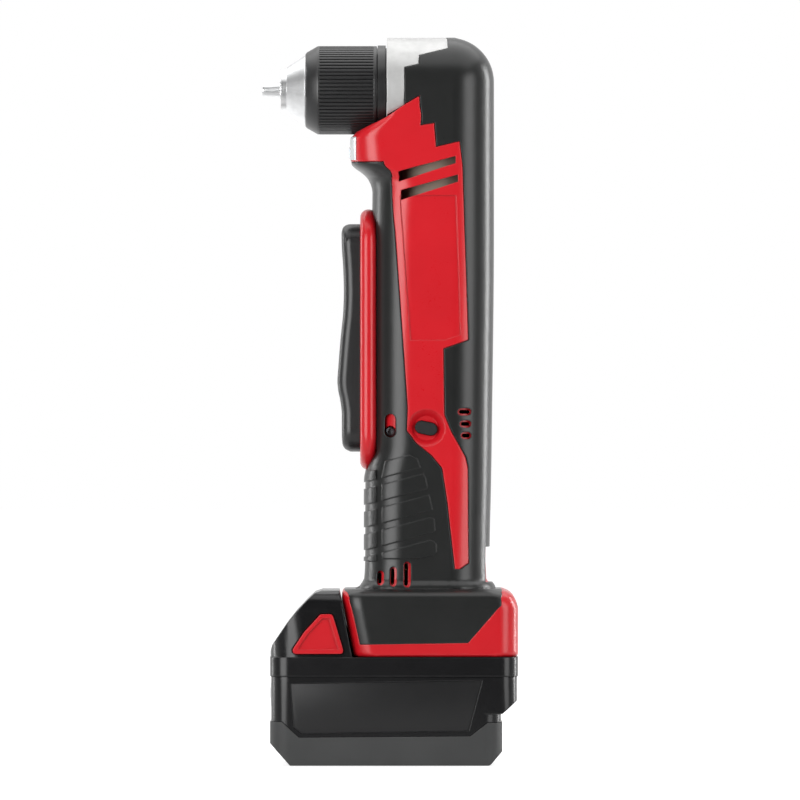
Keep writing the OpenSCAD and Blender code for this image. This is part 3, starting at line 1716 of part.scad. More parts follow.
module battery_lower() {
    color(black) difference() {
        union() {
            pack_high(pack_inset);
            difference() {
                pack_low(pack_inset, 0);
                foot_zone();
            }
            pack_low(foot_t, floor_t);
        }
        difference() {
            pack_hollow(foot_t + shell_t);
            front_posts();
        }
        for (side = [-1, 1]) {
            side_band(side, pack_half_w - label_recess - pack_inset, reach_all) side_points(label_shares);
            for (i = [0, 1]) {
                translate([screw_xs[i], side * screw_y, 0]) {
                    post(0, pack_seam + overrun, screw_r + fit_gap);
                    post(0, screw_head_z[i] + screw_head_h, screw_head_r + slide_gap);
                }
            }
        }
        gauge_space(seam_gap);
    }
}

screw_head_z = [12, 31];

module front_posts() {
    for (side = [-1, 1]) {
        translate([screw_xs[0], side * screw_y, 0]) post(0, pack_seam + overrun, screw_post_r);
    }
}

module battery_foot() {
    color(grey) difference() {
        intersection() {
            pack_low(0, 0);
            foot_zone();
        }
        pack_low(foot_t, floor_t);
        for (side = [-1, 1]) {
            translate([screw_xs[0], side * screw_y, 0])
                post(-overrun, screw_head_z[0] + screw_head_h, screw_head_r + slide_gap);
        }
    }
}

module battery_screws() {
    color(steel) for (i = [0, 1], side = [-1, 1]) {
        translate([screw_xs[i], side * screw_y, 0]) difference() {
            union() {
                post(screw_head_z[i] + fit_gap, screw_head_z[i] + screw_head_h, screw_head_r);
                post(screw_head_z[i] + overrun, deck_top - 2 * screw_cover, screw_r);
            }
            post(screw_head_z[i] - overrun, screw_head_z[i] + drive_depth, drive_r, $fn = 6);
        }
    }
}

module release_button(side) {
    color(red) difference() {
        side_band(side, button_in, button_out) button_outline(0);
        side_band(side, button_out - button_dish, reach_all) button_outline(-button_rim);
    }
}

module release_left() {
    release_button(-1);
}

module release_right() {
    release_button(1);
}

gauge_drop = 3.5;
gauge_h = 11;
gauge_z = [pack_seam - gauge_drop - gauge_h, pack_seam - gauge_drop];
gauge_mid = pack_seam - gauge_drop - gauge_h / 2;
gauge_half_w = 15;
gauge_t = 1.8;
gauge_set = 0.2;
gauge_button_r = 2.8;
gauge_button_y = 10;
gauge_button_t = 1;
gauge_button_room = 0.8;
gauge_lamps = 4;
gauge_lamp = [0.6, 2.8, 2.4];
gauge_lamp_y = -11;
gauge_lamp_pitch = 4.6;
gauge_back = -pack_front + pack_inset + gauge_t;

module gauge_space(extra) {
    block(-pack_front - overrun, gauge_back + extra, -gauge_half_w - extra, gauge_half_w + extra,
        gauge_z[0] - extra, gauge_z[1] + extra);
}

// Round hole or button of the gauge, between two depths
module gauge_round(x0, x1, r) {
    translate([x0, gauge_button_y, gauge_mid]) rotate([0, 90, 0]) cylinder(h = x1 - x0, r = r);
}

module gauge_panel() {
    front = -pack_front + gauge_set;
    button_back = -pack_front - gauge_set + gauge_button_t + gauge_button_room;
    color(dark) difference() {
        block(front, gauge_back, -gauge_half_w, gauge_half_w, gauge_z[0], gauge_z[1]);
        gauge_round(front - overrun, button_back, gauge_button_r + slide_gap);
        for (i = [0 : gauge_lamps - 1]) {
            y = gauge_lamp_y + i * gauge_lamp_pitch;
            block(front - overrun, front + gauge_lamp[0], y, y + gauge_lamp[1],
                gauge_mid - gauge_lamp[2] / 2, gauge_mid + gauge_lamp[2] / 2);
        }
    }
}

module gauge_button() {
    front = -pack_front - gauge_set;
    color(grey) gauge_round(front, front + gauge_button_t, gauge_button_r);
}

cell_gap = 0.4;
cell_end_gap = 1.3;
cell_half_l = pack_half_w - foot_t - shell_t - cell_end_gap;
cell_cap = 1;
cell_cap_share = 0.4;
cell_front_gap = 9.2;
frame_end = 5.5;
frame_t = 6;
frame_out = cell_half_l - frame_end;
frame_in = frame_out - frame_t;
frame_edge = 1.3;
frame_over = 1.6;
cell_pitch = 2 * cell_r + cell_gap;
cell_low = floor_t + shell_t + cell_gap + cell_r;
cell_zs = [cell_low, cell_low + cell_pitch];
cell_first = -pack_front + cell_front_gap + cell_r;

module battery_cells() {
    color(grey) for (i = [0 : cell_columns - 1], z = cell_zs) {
        x = cell_first + i * cell_pitch;
        cross_pin(x, z, -cell_half_l, cell_half_l - cell_cap, cell_r);
        cross_pin(x, z, 0, cell_half_l, cell_r * cell_cap_share);
    }
}

module cell_frames() {
    front = cell_first - cell_r - frame_edge;
    back = cell_first + (cell_columns - 1) * cell_pitch + cell_r + frame_edge;
    color(dark) difference() {
        intersection() {
            for (side = [-1, 1]) {
                block(front, back, side < 0 ? -frame_out : frame_in, side < 0 ? -frame_in : frame_out,
                    floor_t + shell_t + fit_gap, pack_seam + frame_over);
            }
            pack_hollow(foot_t + shell_t + seam_gap);
        }
        for (i = [0 : cell_columns - 1], z = cell_zs) {
            cross_pin(cell_first + i * cell_pitch, z, -reach_all, reach_all, cell_r + fit_gap);
        }
    }
}

pack_board_set = 13;
pack_board_in = 10.4;
pack_board_half_w = pack_half_w - pack_board_in;
clip_t = 0.7;
clip_gap = 1.15;
clip_inset = 6;
board_z = pack_seam + frame_over + 2 * fit_gap;

module battery_board() {
    color(green) block(-base_front, base_back - pack_board_set, -pack_board_half_w, pack_board_half_w,
        board_z, board_z + board_t);
}

module battery_contacts() {
    color(copper) for (y = blade_ys, side = [-1, 1]) {
        low = y + (side < 0 ? -clip_gap - clip_t : clip_gap);
        block(terminal_x[0] + clip_inset, terminal_x[1] - clip_inset, low, low + clip_t,
            board_z + board_t + fit_gap, rail_top - rail_wall - deck_gap);
    }
}

housing_left();
housing_right();
overmould_left();
overmould_right();
housing_screws();
paddle_bezel();
paddle();
paddle_pin();
switch_body();
switch_plunger();
direction_shuttle();
led_lens();
led_board();
control_board();
terminal_block();
terminal_blades();
gear_case();
spindle();
bevel_gear();
bevel_pinion();
spindle_bearing_front();
spindle_bearing_rear();
pinion_bearing();
planet_carrier();
planet_1();
planet_2();
planet_3();
ring_gear();
motor_can();
motor_magnets();
motor_end_cap();
motor_brushes();
rotor_shaft();
rotor_core();
rotor_windings();
commutator();
motor_fan();
sun_gear();
motor_bearing_front();
motor_bearing_rear();
chuck_body();
chuck_nut();
chuck_sleeve();
chuck_rear_ring();
chuck_screw();
jaw_1();
jaw_2();
jaw_3();
battery_top();
battery_lower();
battery_foot();
release_left();
release_right();
gauge_panel();
gauge_button();
battery_cells();
cell_frames();
battery_board();
battery_contacts();
battery_screws();
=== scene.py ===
"""Cordless right angle drill with a sliding battery pack, dressed for a studio picture.

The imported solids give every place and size. The lofted shells are finer copies of their solids, drawn
onto the true curves between the stations. The ribbed sleeve, the screws, the motor leads and the label
plates are built here, and all finishes are node based.
"""
from __future__ import annotations

import json
import logging
import math
from dataclasses import dataclass
from enum import Enum
from typing import Callable, Iterable, Sequence

import bmesh
import bpy
import numpy as np
from mathutils import Matrix, Vector

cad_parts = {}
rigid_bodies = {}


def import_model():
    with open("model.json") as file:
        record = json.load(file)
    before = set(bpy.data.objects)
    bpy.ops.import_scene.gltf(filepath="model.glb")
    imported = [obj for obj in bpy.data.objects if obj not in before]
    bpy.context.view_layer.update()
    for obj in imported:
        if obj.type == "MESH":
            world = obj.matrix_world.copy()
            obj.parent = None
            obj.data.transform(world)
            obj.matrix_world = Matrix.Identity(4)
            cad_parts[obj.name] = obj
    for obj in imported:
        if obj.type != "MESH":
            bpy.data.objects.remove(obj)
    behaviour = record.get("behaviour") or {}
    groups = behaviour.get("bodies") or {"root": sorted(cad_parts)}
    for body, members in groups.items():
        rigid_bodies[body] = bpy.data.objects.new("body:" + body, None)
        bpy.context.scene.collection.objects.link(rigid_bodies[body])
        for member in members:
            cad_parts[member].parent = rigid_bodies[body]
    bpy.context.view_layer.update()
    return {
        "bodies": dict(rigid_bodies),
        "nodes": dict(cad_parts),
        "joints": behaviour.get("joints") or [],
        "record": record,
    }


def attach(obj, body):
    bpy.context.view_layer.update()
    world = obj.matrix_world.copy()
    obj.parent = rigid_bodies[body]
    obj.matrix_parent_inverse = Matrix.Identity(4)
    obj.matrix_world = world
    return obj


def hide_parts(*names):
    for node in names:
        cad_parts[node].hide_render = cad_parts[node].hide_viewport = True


LOG = logging.getLogger("drill")
MM = 0.001
FULL_TURN = 2 * math.pi
WHITE = (1.0, 1.0, 1.0)

Colour = tuple[float, float, float]
Mesh = bmesh.types.BMesh
Material = bpy.types.Material
Socket = bpy.types.NodeSocket


class Turn(Enum):
    """Axis that a turned or drawn surface runs around."""

    CHUCK = "x"
    MOTOR = "z"
    NONE = "none"


# Curves and lofts


class Curve:
    """Smooth curve through rows of values that never overshoots a row."""

    def __init__(self, x: Sequence[float], rows: np.ndarray) -> None:
        """Fits the curve.

        Args:
            x: Rising places of the rows.
            rows: One row of values for each place.
        """
        self.x = np.asarray(x, float)
        self.y = np.asarray(rows, float)
        step = np.diff(self.x)[:, None]
        rise = np.diff(self.y, axis=0) / step
        near = 2 * step[1:] + step[:-1]
        far = step[1:] + 2 * step[:-1]
        with np.errstate(divide="ignore", invalid="ignore"):
            mean = (near + far) / (near / rise[:-1] + far / rise[1:])
        self.slope = np.zeros_like(self.y)
        self.slope[1:-1] = np.where(rise[:-1] * rise[1:] > 0, mean, 0)
        self.slope[0] = rise[0]
        self.slope[-1] = rise[-1]

    def at(self, q: np.ndarray) -> np.ndarray:
        """Reads the curve.

        Args:
            q: Places, held to the curve's ends.
        Returns:
            A row of values for each place.
        """
        i = np.clip(np.searchsorted(self.x, q) - 1, 0, len(self.x) - 2)
        span = self.x[i + 1] - self.x[i]
        t = np.clip((q - self.x[i]) / span, 0, 1)[:, None]
        span = span[:, None]
        t2 = t * t
        t3 = t2 * t
        return ((2 * t3 - 3 * t2 + 1) * self.y[i] + (t3 - 2 * t2 + t) * span * self.slope[i]
                + (3 * t2 - 2 * t3) * self.y[i + 1] + (t3 - t2) * span * self.slope[i + 1])


DEPTH_SHARE = 0.48
WIDTH_SHARE = 0.98


def ring_row(z: float, front: float, back: float, half_w: float, front_r: float,
             back_r: float) -> list[float]:
    """One station of a loft, with its corners kept within the ring.

    Args:
        z: Height.
        front: Place of the front along X.
        back: Place of the back along X.
        half_w: Half the width.
        front_r: Radius of the front corners.
        back_r: Radius of the back corners.
    Returns:
        Height, front, back, half width, and the radii along X and Y of the front and the back corners.
    """
    depth = DEPTH_SHARE * (back - front)
    width = WIDTH_SHARE * half_w
    return [z, front, back, half_w, min(front_r, depth), min(front_r, width), min(back_r, depth),
            min(back_r, width)]


class Loft:
    """Rounded rings stacked along Z: the solid's coarse rings, and the smooth form that they stand for."""

    TINY = 1e-6
    NO_EDGE = 1e-4
    NEVER = 1e6
    OUTSIDE = 1e3
    END_SLACK = 0.01
    LEAST_R = 1e-3
    TILT_STEP = 0.25

    def __init__(self, coarse: Sequence[Sequence[float]], fine: Sequence[Sequence[float]],
                 steps: int) -> None:
        """Keeps both forms.

        Args:
            coarse: Stations of the solid, with straight flats between them.
            fine: Stations of the smooth form.
            steps: Flats in each corner of the solid's rings.
        """
        rows = np.array(coarse, float)
        self.z = rows[:, 0]
        self.steps = steps
        turns = np.radians([90 * (c + k / steps) for c in range(4) for k in range(steps + 1)])
        corner = np.repeat(np.arange(4), steps + 1)
        self.rings = np.stack([self._spots(row[None, 1:].repeat(len(turns), 0), corner, turns)
                               for row in rows])
        fine_rows = np.array(fine, float)
        self.curve = Curve(fine_rows[:, 0], fine_rows[:, 1:])

    @staticmethod
    def _spots(rows: np.ndarray, corner: np.ndarray, turn: np.ndarray) -> np.ndarray:
        """Points on the corners' ellipses.

        Args:
            rows: Stations without their heights.
            corner: Number of each point's corner.
            turn: Turn of each point.
        Returns:
            Points in X and Y.
        """
        front, back, half, fx, fy, bx, by = rows.T
        rear = (corner == 0) | (corner == 3)
        upper = corner < 2
        rx = np.where(rear, bx, fx)
        ry = np.where(rear, by, fy)
        cx = np.where(rear, back - bx, front + fx)
        cy = np.where(upper, half - ry, ry - half)
        return np.stack([cx + rx * np.cos(turn), cy + ry * np.sin(turn)], 1)

    def locate(self, pts: np.ndarray) -> tuple[np.ndarray, np.ndarray, np.ndarray]:
        """Finds points on the solid's form.

        Args:
            pts: Points in millimetres.
        Returns:
            Distance outside the form, flat number and share along that flat, for each point.
        """
        z = pts[:, 2]
        i = np.clip(np.searchsorted(self.z, z) - 1, 0, len(self.z) - 2)
        t = np.clip((z - self.z[i]) / (self.z[i + 1] - self.z[i]), 0, 1)[:, None, None]
        ring = self.rings[i] * (1 - t) + self.rings[i + 1] * t
        edge = np.roll(ring, -1, axis=1) - ring
        length = np.linalg.norm(edge, axis=2)
        safe = np.maximum(length, self.TINY)
        rel = pts[:, None, :2] - ring
        out = (rel[:, :, 0] * edge[:, :, 1] - rel[:, :, 1] * edge[:, :, 0]) / safe
        out[length < self.NO_EDGE] = -self.NEVER
        flat = out.argmax(1)
        every = np.arange(len(pts))
        share = np.clip(((rel * edge).sum(2) / safe ** 2)[every, flat], 0, 1)
        gap = out[every, flat]
        past = (z < self.z[0] - self.END_SLACK) | (z > self.z[-1] + self.END_SLACK)
        gap[past] = self.OUTSIDE
        return gap, flat, share

    def smooth(self, z: np.ndarray, flat: np.ndarray, share: np.ndarray) -> tuple[np.ndarray, np.ndarray]:
        """Reads the smooth form in plan.

        Args:
            z: Heights.
            flat: Number of each point's flat.
            share: Share along that flat.
        Returns:
            Points and outward directions, both in X and Y.
        """
        rows = self.curve.at(z)
        corner = flat // (self.steps + 1)
        k = flat % (self.steps + 1)
        arc = k < self.steps
        turn = np.radians(90 * (corner + np.where(arc, (k + share) / self.steps, 1.0)))
        here = self._spots(rows, corner, turn)
        ahead = self._spots(rows, (corner + 1) % 4, turn)
        spot = np.where(arc[:, None], here, here + (ahead - here) * share[:, None])
        rear = (corner == 0) | (corner == 3)
        rx = np.maximum(np.where(rear, rows[:, 5], rows[:, 3]), self.LEAST_R)
        ry = np.maximum(np.where(rear, rows[:, 6], rows[:, 4]), self.LEAST_R)
        way = np.stack([np.cos(turn) / rx, np.sin(turn) / ry], 1)
        return spot, way / np.linalg.norm(way, axis=1)[:, None]

    def facing(self, z: np.ndarray, flat: np.ndarray, share: np.ndarray) -> np.ndarray:
        """Outward normals of the smooth form.

        Args:
            z: Heights.
            flat: Number of each point's flat.
            share: Share along that flat.
        Returns:
            Normals in space.
        """
        step = self.TILT_STEP
        spot, way = self.smooth(z, flat, share)
        lean = (self.smooth(z + step, flat, share)[0] - self.smooth(z - step, flat, share)[0]) / (2 * step)
        up = -(lean * way).sum(1)
        normal = np.column_stack([way, up])
        return normal / np.linalg.norm(normal, axis=1)[:, None]


# Mesh helpers


def to_array(mesh_items: Iterable, name: str, count: int) -> np.ndarray:
    """Reads one vector field of a mesh collection.

    Args:
        mesh_items: The collection, such as a mesh's corners.
        name: Name of the field.
        count: Length of the collection.
    Returns:
        One row of three values for each item.
    """
    flat = np.zeros(count * 3)
    mesh_items.foreach_get(name, flat)
    return flat.reshape(-1, 3)


def bridge(bm: Mesh, rings: list[list], closed: bool) -> None:
    """Joins rings of points with faces.

    Args:
        bm: Mesh that holds the points.
        rings: Rings with the same number of points.
        closed: Whether the last ring meets the first one; if not, both get a cap.
    """
    ahead = rings[1:] + rings[:1] if closed else rings[1:]
    for a, b in zip(rings, ahead):
        for j in range(len(a)):
            k = (j + 1) % len(a)
            bm.faces.new((a[j], a[k], b[k], b[j]))
    if not closed:
        bm.faces.new(rings[0][::-1])
        bm.faces.new(rings[-1])


def lathe(profile: Sequence[tuple[float, float]], axis_z: float, steps: int) -> Mesh:
    """Closed solid of revolution about the chuck axis.

    Args:
        profile: Closed loop of places along X and radii.
        axis_z: Height of the axis.
        steps: Flats around.
    Returns:
        The mesh in millimetres.
    """
    bm = bmesh.new()
    turns = np.linspace(0, FULL_TURN, steps, endpoint=False)
    rings = [[bm.verts.new((x, r * math.cos(a), axis_z + r * math.sin(a))) for a in turns]
             for x, r in profile]
    bridge(bm, rings, True)
    bmesh.ops.recalc_face_normals(bm, faces=bm.faces)
    return bm


def to_mesh(bm: Mesh, name: str) -> bpy.types.Mesh:
    """Turns a working mesh into a plain one.

    Args:
        bm: The working mesh; it is freed.
        name: Name of the plain mesh.
    Returns:
        The plain mesh.
    """
    mesh = bpy.data.meshes.new(name)
    bm.to_mesh(mesh)
    bm.free()
    return mesh


def to_object(data: bpy.types.ID, name: str) -> bpy.types.Object:
    """Adds an object to the scene.

    Args:
        data: Its mesh, lamp or camera.
        name: Name of the object.
    Returns:
        The object.
    """
    obj = bpy.data.objects.new(name, data)
    bpy.context.scene.collection.objects.link(obj)
    return obj


FLAT_ANGLE = 0.6
SHARP_ANGLE = 50.0
BEVEL_ROOM = 3
BEVEL_STEPS = 2
SPLIT_ROUNDS = 9


def break_edges(bm: Mesh, width: float) -> None:
    """Bevels the outer edges of a mesh that are sharp, and long enough for it.

    Args:
        bm: Mesh in millimetres.
        width: Width of the bevel.
    """
    bmesh.ops.dissolve_limit(bm, angle_limit=math.radians(FLAT_ANGLE), verts=bm.verts, edges=bm.edges)
    least = math.radians(SHARP_ANGLE)
    edges = [e for e in bm.edges if len(e.link_faces) == 2 and e.is_convex and e.calc_face_angle(0) > least
             and e.calc_length() > BEVEL_ROOM * width]
    bmesh.ops.bevel(bm, geom=edges, offset=width, segments=BEVEL_STEPS, profile=0.5, affect="EDGES",
                    clamp_overlap=True)
    bmesh.ops.triangulate(bm, faces=[f for f in bm.faces if len(f.verts) > 4])


def refine(bm: Mesh, layer: bmesh.types.BMLayerItem, limit: float) -> None:
    """Splits the edges of marked faces.

    Args:
        bm: Mesh in millimetres.
        layer: Layer of the faces that holds the mark.
        limit: Length that no edge of a marked face is to pass.
    """
    for _ in range(SPLIT_ROUNDS):
        edges = [e for e in bm.edges if any(f[layer] for f in e.link_faces) and e.calc_length() > limit]
        if not edges:
            return
        bmesh.ops.subdivide_edges(bm, edges=edges, cuts=1)
        bmesh.ops.triangulate(bm, faces=[f for f in bm.faces if len(f.verts) > 3])


class Bench:
    """Copies solids, builds meshes and hands finished pieces to the frame."""

    MERGE = 0.002
    SLIVER = 0.0005

    def __init__(self, frame: dict) -> None:
        """Keeps the loaded frame.
        """
        self.nodes = frame["nodes"]
        self.body_of = {n: b for b, ns in frame["record"]["behaviour"]["bodies"].items() for n in ns}
        self.done: set[str] = set()

    def lift(self, node: str) -> Mesh:
        """Copies a solid's mesh, with its loose triangles merged.

        Args:
            node: Name of the solid.
        Returns:
            The mesh in millimetres.
        """
        bm = bmesh.new()
        bm.from_mesh(self.nodes[node].data)
        bmesh.ops.scale(bm, vec=(1 / MM,) * 3, verts=bm.verts)
        bmesh.ops.remove_doubles(bm, verts=bm.verts, dist=self.MERGE)
        bmesh.ops.dissolve_degenerate(bm, dist=self.SLIVER, edges=bm.edges)
        return bm

    def settle(self, bm: Mesh, name: str, node: str, material: Material, angle: float,
               normals: Callable | None = None, stands: bool = True) -> None:
        """Makes a finished piece that rides with a solid and, as a rule, stands for it.

        Args:
            bm: The piece in millimetres; it is freed.
            name: Name of the piece.
            node: Solid that it rides with.
            material: Its finish.
            angle: Edges sharper than this many degrees stay sharp.
            normals: Gives each corner's normal, from the mesh in millimetres.
            stands: Whether the piece takes the solid's place.
        """
        mesh = to_mesh(bm, name)
        if "custom_normal" in mesh.attributes:
            mesh.attributes.remove(mesh.attributes["custom_normal"])
        mesh.shade_smooth()
        mesh.set_sharp_from_angle(angle=math.radians(angle))
        if normals is not None:
            mesh.normals_split_custom_set(normals(mesh))
        mesh.transform(Matrix.Scale(MM, 4))
        mesh.materials.clear()
        mesh.materials.append(material)
        obj = to_object(mesh, name)
        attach(obj, self.body_of[node])
        if stands:
            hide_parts(node)
            self.done.add(node)
        LOG.info("%s: on %s, %d faces, %s", name, self.body_of[node], len(mesh.polygons), material.name)

    def copy(self, node: str, palette: Palette, slot: str, bevel: float, angle: float) -> None:
        """Shaded copy of a solid in its slot's finish.

        Args:
            node: Name of the solid.
            palette: Materials.
            slot: Material slot of the record.
            bevel: Width of the bevel on its sharp edges, or 0 for none.
            angle: Edges sharper than this many degrees stay sharp.
        """
        bm = self.lift(node)
        if bevel > 0:
            break_edges(bm, bevel)
        self.settle(bm, f"{node}_skin", node, palette.slot(slot), angle)


class Fairing:
    """Draws the coarse copies of lofted shells onto their smooth forms."""

    SKIN = (-0.9, 2.0)
    SNAP = 0.14
    REACH = 3.0
    ALONG = 0.86

    def __init__(self, lofts: Sequence[Loft], levels: Sequence[float], deep: float, fade: float) -> None:
        """Keeps the forms.

        Args:
            lofts: Forms that make up the solid together.
            levels: Distances from the form at which faces run along it.
            deep: Points down to this depth are drawn fully.
            fade: Depth over which the pull fades out below that.
        """
        self.lofts = list(lofts)
        self.levels = np.array(levels)
        self.deep = deep
        self.fade = fade

    def _find(self, pts: np.ndarray) -> tuple[np.ndarray, np.ndarray, np.ndarray, np.ndarray]:
        """Finds points on the nearest form.

        Args:
            pts: Points in millimetres.
        Returns:
            Number of the form, distance outside it, flat and share, for each point.
        """
        found = [loft.locate(pts) for loft in self.lofts]
        gaps = np.stack([f[0] for f in found])
        which = gaps.argmin(0)
        every = np.arange(len(pts))
        flat = np.stack([f[1] for f in found])[which, every]
        share = np.stack([f[2] for f in found])[which, every]
        return which, gaps[which, every], flat, share

    def apply(self, bm: Mesh, limit: float) -> Callable:
        """Refines and draws a mesh onto the smooth form.

        Args:
            bm: Mesh in millimetres.
            limit: Longest edge on the outside.
        Returns:
            A function that gives each corner's normal for Bench.settle.
        """
        bmesh.ops.triangulate(bm, faces=bm.faces)
        layer = bm.faces.layers.int.new("outside")
        bm.faces.ensure_lookup_table()
        middles = np.array([f.calc_center_median() for f in bm.faces])
        gap = self._find(middles)[1]
        low, high = self.SKIN
        for f, g in zip(bm.faces, gap):
            f[layer] = int(low < g < high)
        refine(bm, layer, limit)
        pts = np.array([v.co for v in bm.verts])
        which, gap, flat, share = self._find(pts)
        near = np.abs(gap[:, None] - self.levels).argmin(1)
        on_level = np.abs(gap - self.levels[near]) < self.SNAP
        gap = np.where(on_level, self.levels[near], gap)
        pull = np.clip(1 - (-gap - self.deep) / self.fade, 0, 1) * (gap < self.REACH)
        new = pts.copy()
        facing = np.zeros_like(pts)
        for i, loft in enumerate(self.lofts):
            mine = which == i
            if not mine.any():
                continue
            spot, way = loft.smooth(pts[mine, 2], flat[mine], share[mine])
            target = spot + way * gap[mine, None]
            new[mine, :2] = pts[mine, :2] + (target - pts[mine, :2]) * pull[mine, None]
            facing[mine] = loft.facing(pts[mine, 2], flat[mine], share[mine])
        shift = np.abs(new - pts).max(1)
        LOG.info("fairing moved points by up to %.2f mm, %d faces", shift.max(), len(bm.faces))
        for v, p in zip(bm.verts, new):
            v.co = p

        def normals(mesh: bpy.types.Mesh) -> np.ndarray:
            """Smooth normals where a face runs along the form, plain ones elsewhere.

            Args:
                mesh: Drawn mesh in millimetres.
            Returns:
                One normal for each corner.
            """
            plain = to_array(mesh.corner_normals, "vector", len(mesh.loops))
            corner = np.zeros(len(mesh.loops), int)
            mesh.loops.foreach_get("vertex_index", corner)
            face = np.zeros(len(mesh.loops), int)
            for p in mesh.polygons:
                face[p.loop_start:p.loop_start + p.loop_total] = p.index
            flat_way = to_array(mesh.polygons, "normal", len(mesh.polygons))
            along = (flat_way[face] * facing[corner]).sum(1) > self.ALONG
            use = along & on_level[corner]
            return np.where(use[:, None], facing[corner], plain)

        return normals


# Nodes


class NodeKit:
    """Adds nodes to one tree, and sets or links their sockets."""

    def __init__(self, tree: bpy.types.NodeTree) -> None:
        """Keeps the tree, emptied."""
        self.tree = tree
        tree.nodes.clear()

    def node(self, kind: str, settings: dict | None = None, inputs: dict | None = None) -> bpy.types.Node:
        """Adds a node.

        Args:
            kind: Type of the node.
            settings: Its settings, which are set first.
            inputs: Values or links of its inputs, by name or number.
        Returns:
            The node.
        """
        n = self.tree.nodes.new(kind)
        for key, value in (settings or {}).items():
            setattr(n, key, value)
        for key, value in (inputs or {}).items():
            self.feed(n.inputs[key], value)
        return n

    def feed(self, socket: Socket, value: object) -> None:
        """Links or sets one socket.

        Args:
            socket: The input.
            value: A wire or a socket to link, or a value to set.
        """
        if isinstance(value, Wire):
            self.tree.links.new(value.socket, socket)
        elif isinstance(value, bpy.types.NodeSocket):
            self.tree.links.new(value, socket)
        elif isinstance(value, tuple) and len(value) == 3 and socket.type == "RGBA":
            socket.default_value = (*value, 1.0)
        else:
            socket.default_value = value

    def rays(self, *kinds: str) -> Wire:
        """1 for rays of any of the named kinds.

        Args:
            kinds: Names of outputs of the Light Path node.
        Returns:
            The wire.
        """
        path = self.node("ShaderNodeLightPath")
        first, *others = (Wire(self, path.outputs[kind]) for kind in kinds)
        for other in others:
            first = first.most(other)
        return first


class Instancer(NodeKit):
    """Node trees that repeat a small mesh, realised as plain meshes."""

    def __init__(self, name: str, kinds: dict[str, str]) -> None:
        """Starts a tree with a geometry input and output.

        Args:
            name: Name of the tree.
            kinds: Socket types of its other inputs, by name.
        """
        super().__init__(bpy.data.node_groups.new(name, "GeometryNodeTree"))
        face = self.tree.interface
        for way in ("INPUT", "OUTPUT"):
            face.new_socket("Geometry", in_out=way, socket_type="NodeSocketGeometry")
        self.keys = {label: face.new_socket(label, in_out="INPUT", socket_type=kind).identifier
                     for label, kind in kinds.items()}
        self.given = self.node("NodeGroupInput").outputs

    def repeat(self, points: Socket, source: Socket, turn: Socket) -> Socket:
        """Puts a copy of an object on each point.

        Args:
            points: The points.
            source: Object that is repeated.
            turn: Turn of each copy.
        Returns:
            The realised copies.
        """
        piece = self.node("GeometryNodeObjectInfo", {}, {"Object": source})
        copies = self.node("GeometryNodeInstanceOnPoints", {}, {
            "Points": points, "Instance": piece.outputs["Geometry"], "Rotation": turn})
        real = self.node("GeometryNodeRealizeInstances", {}, {"Geometry": copies.outputs["Instances"]})
        return real.outputs[0]

    def close(self, geometry: Socket) -> None:
        """Gives the result its finish and ends the tree.

        Args:
            geometry: The realised result.
        """
        dressed = self.node("GeometryNodeSetMaterial", {}, {"Geometry": geometry,
                                                            "Material": self.given["Finish"]})
        self.node("NodeGroupOutput", {}, {"Geometry": dressed.outputs[0]})

    def run(self, base: bpy.types.Mesh, source: bpy.types.Object, values: dict) -> Mesh:
        """Runs the tree on a mesh.

        Args:
            base: Mesh that carries the points.
            source: Object that is repeated; it is removed.
            values: Values of the named inputs.
        Returns:
            The realised mesh.
        """
        obj = to_object(base, "instancing")
        mod = obj.modifiers.new("instancing", "NODES")
        mod.node_group = self.tree
        for label, value in values.items():
            mod[self.keys[label]] = value
        graph = bpy.context.evaluated_depsgraph_get()
        mesh = bpy.data.meshes.new_from_object(obj.evaluated_get(graph), depsgraph=graph)
        obj.modifiers.remove(mod)
        bpy.data.objects.remove(obj)
        bpy.data.objects.remove(source)
        bm = bmesh.new()
        bm.from_mesh(mesh)
        return bm


class Wire:
    """A socket that takes part in sums, so that a shader reads like arithmetic."""

    def __init__(self, kit: NodeKit, socket: Socket) -> None:
        """Keeps the tree's kit and the socket."""
        self.kit = kit
        self.socket = socket

    def _math(self, op: str, a: Wire | float, b: Wire | float, clamp: bool = False) -> Wire:
        """Result of one Math node."""
        n = self.kit.node("ShaderNodeMath", {"operation": op, "use_clamp": clamp}, {0: a, 1: b})
        return Wire(self.kit, n.outputs[0])

    def __add__(self, other: Wire | float) -> Wire:
        """Sum."""
        return self._math("ADD", self, other)

    def __radd__(self, other: float) -> Wire:
        """Sum with a number in front."""
        return self._math("ADD", other, self)

    def __sub__(self, other: Wire | float) -> Wire:
        """Difference."""
        return self._math("SUBTRACT", self, other)

    def __rsub__(self, other: float) -> Wire:
        """Difference with a number in front."""
        return self._math("SUBTRACT", other, self)

    def __mul__(self, other: Wire | float) -> Wire:
        """Product."""
        return self._math("MULTIPLY", self, other)

    def __rmul__(self, other: float) -> Wire:
        """Product with a number in front."""
        return self._math("MULTIPLY", other, self)

    def __rtruediv__(self, other: float) -> Wire:
        """Quotient of a number."""
        return self._math("DIVIDE", other, self)

    def most(self, other: Wire | float) -> Wire:
        """The greater of two values."""
        return self._math("MAXIMUM", self, other)

    def clamp(self) -> Wire:
        """The value kept between 0 and 1."""
        return self._math("ADD", self, 0.0, True)

    def above(self, low: float, high: float, start: float = 0.0, end: float = 1.0) -> Wire:
        """Smooth rise.

        Args:
            low: Value at which the rise starts.
            high: Value at which it ends.
            start: Result up to low.
            end: Result from high on.
        Returns:
            The wire.
        """
        n = self.kit.node("ShaderNodeMapRange", {"interpolation_type": "SMOOTHSTEP"}, {
            "Value": self, "From Min": low, "From Max": high, "To Min": start, "To Max": end})
        return Wire(self.kit, n.outputs["Result"])


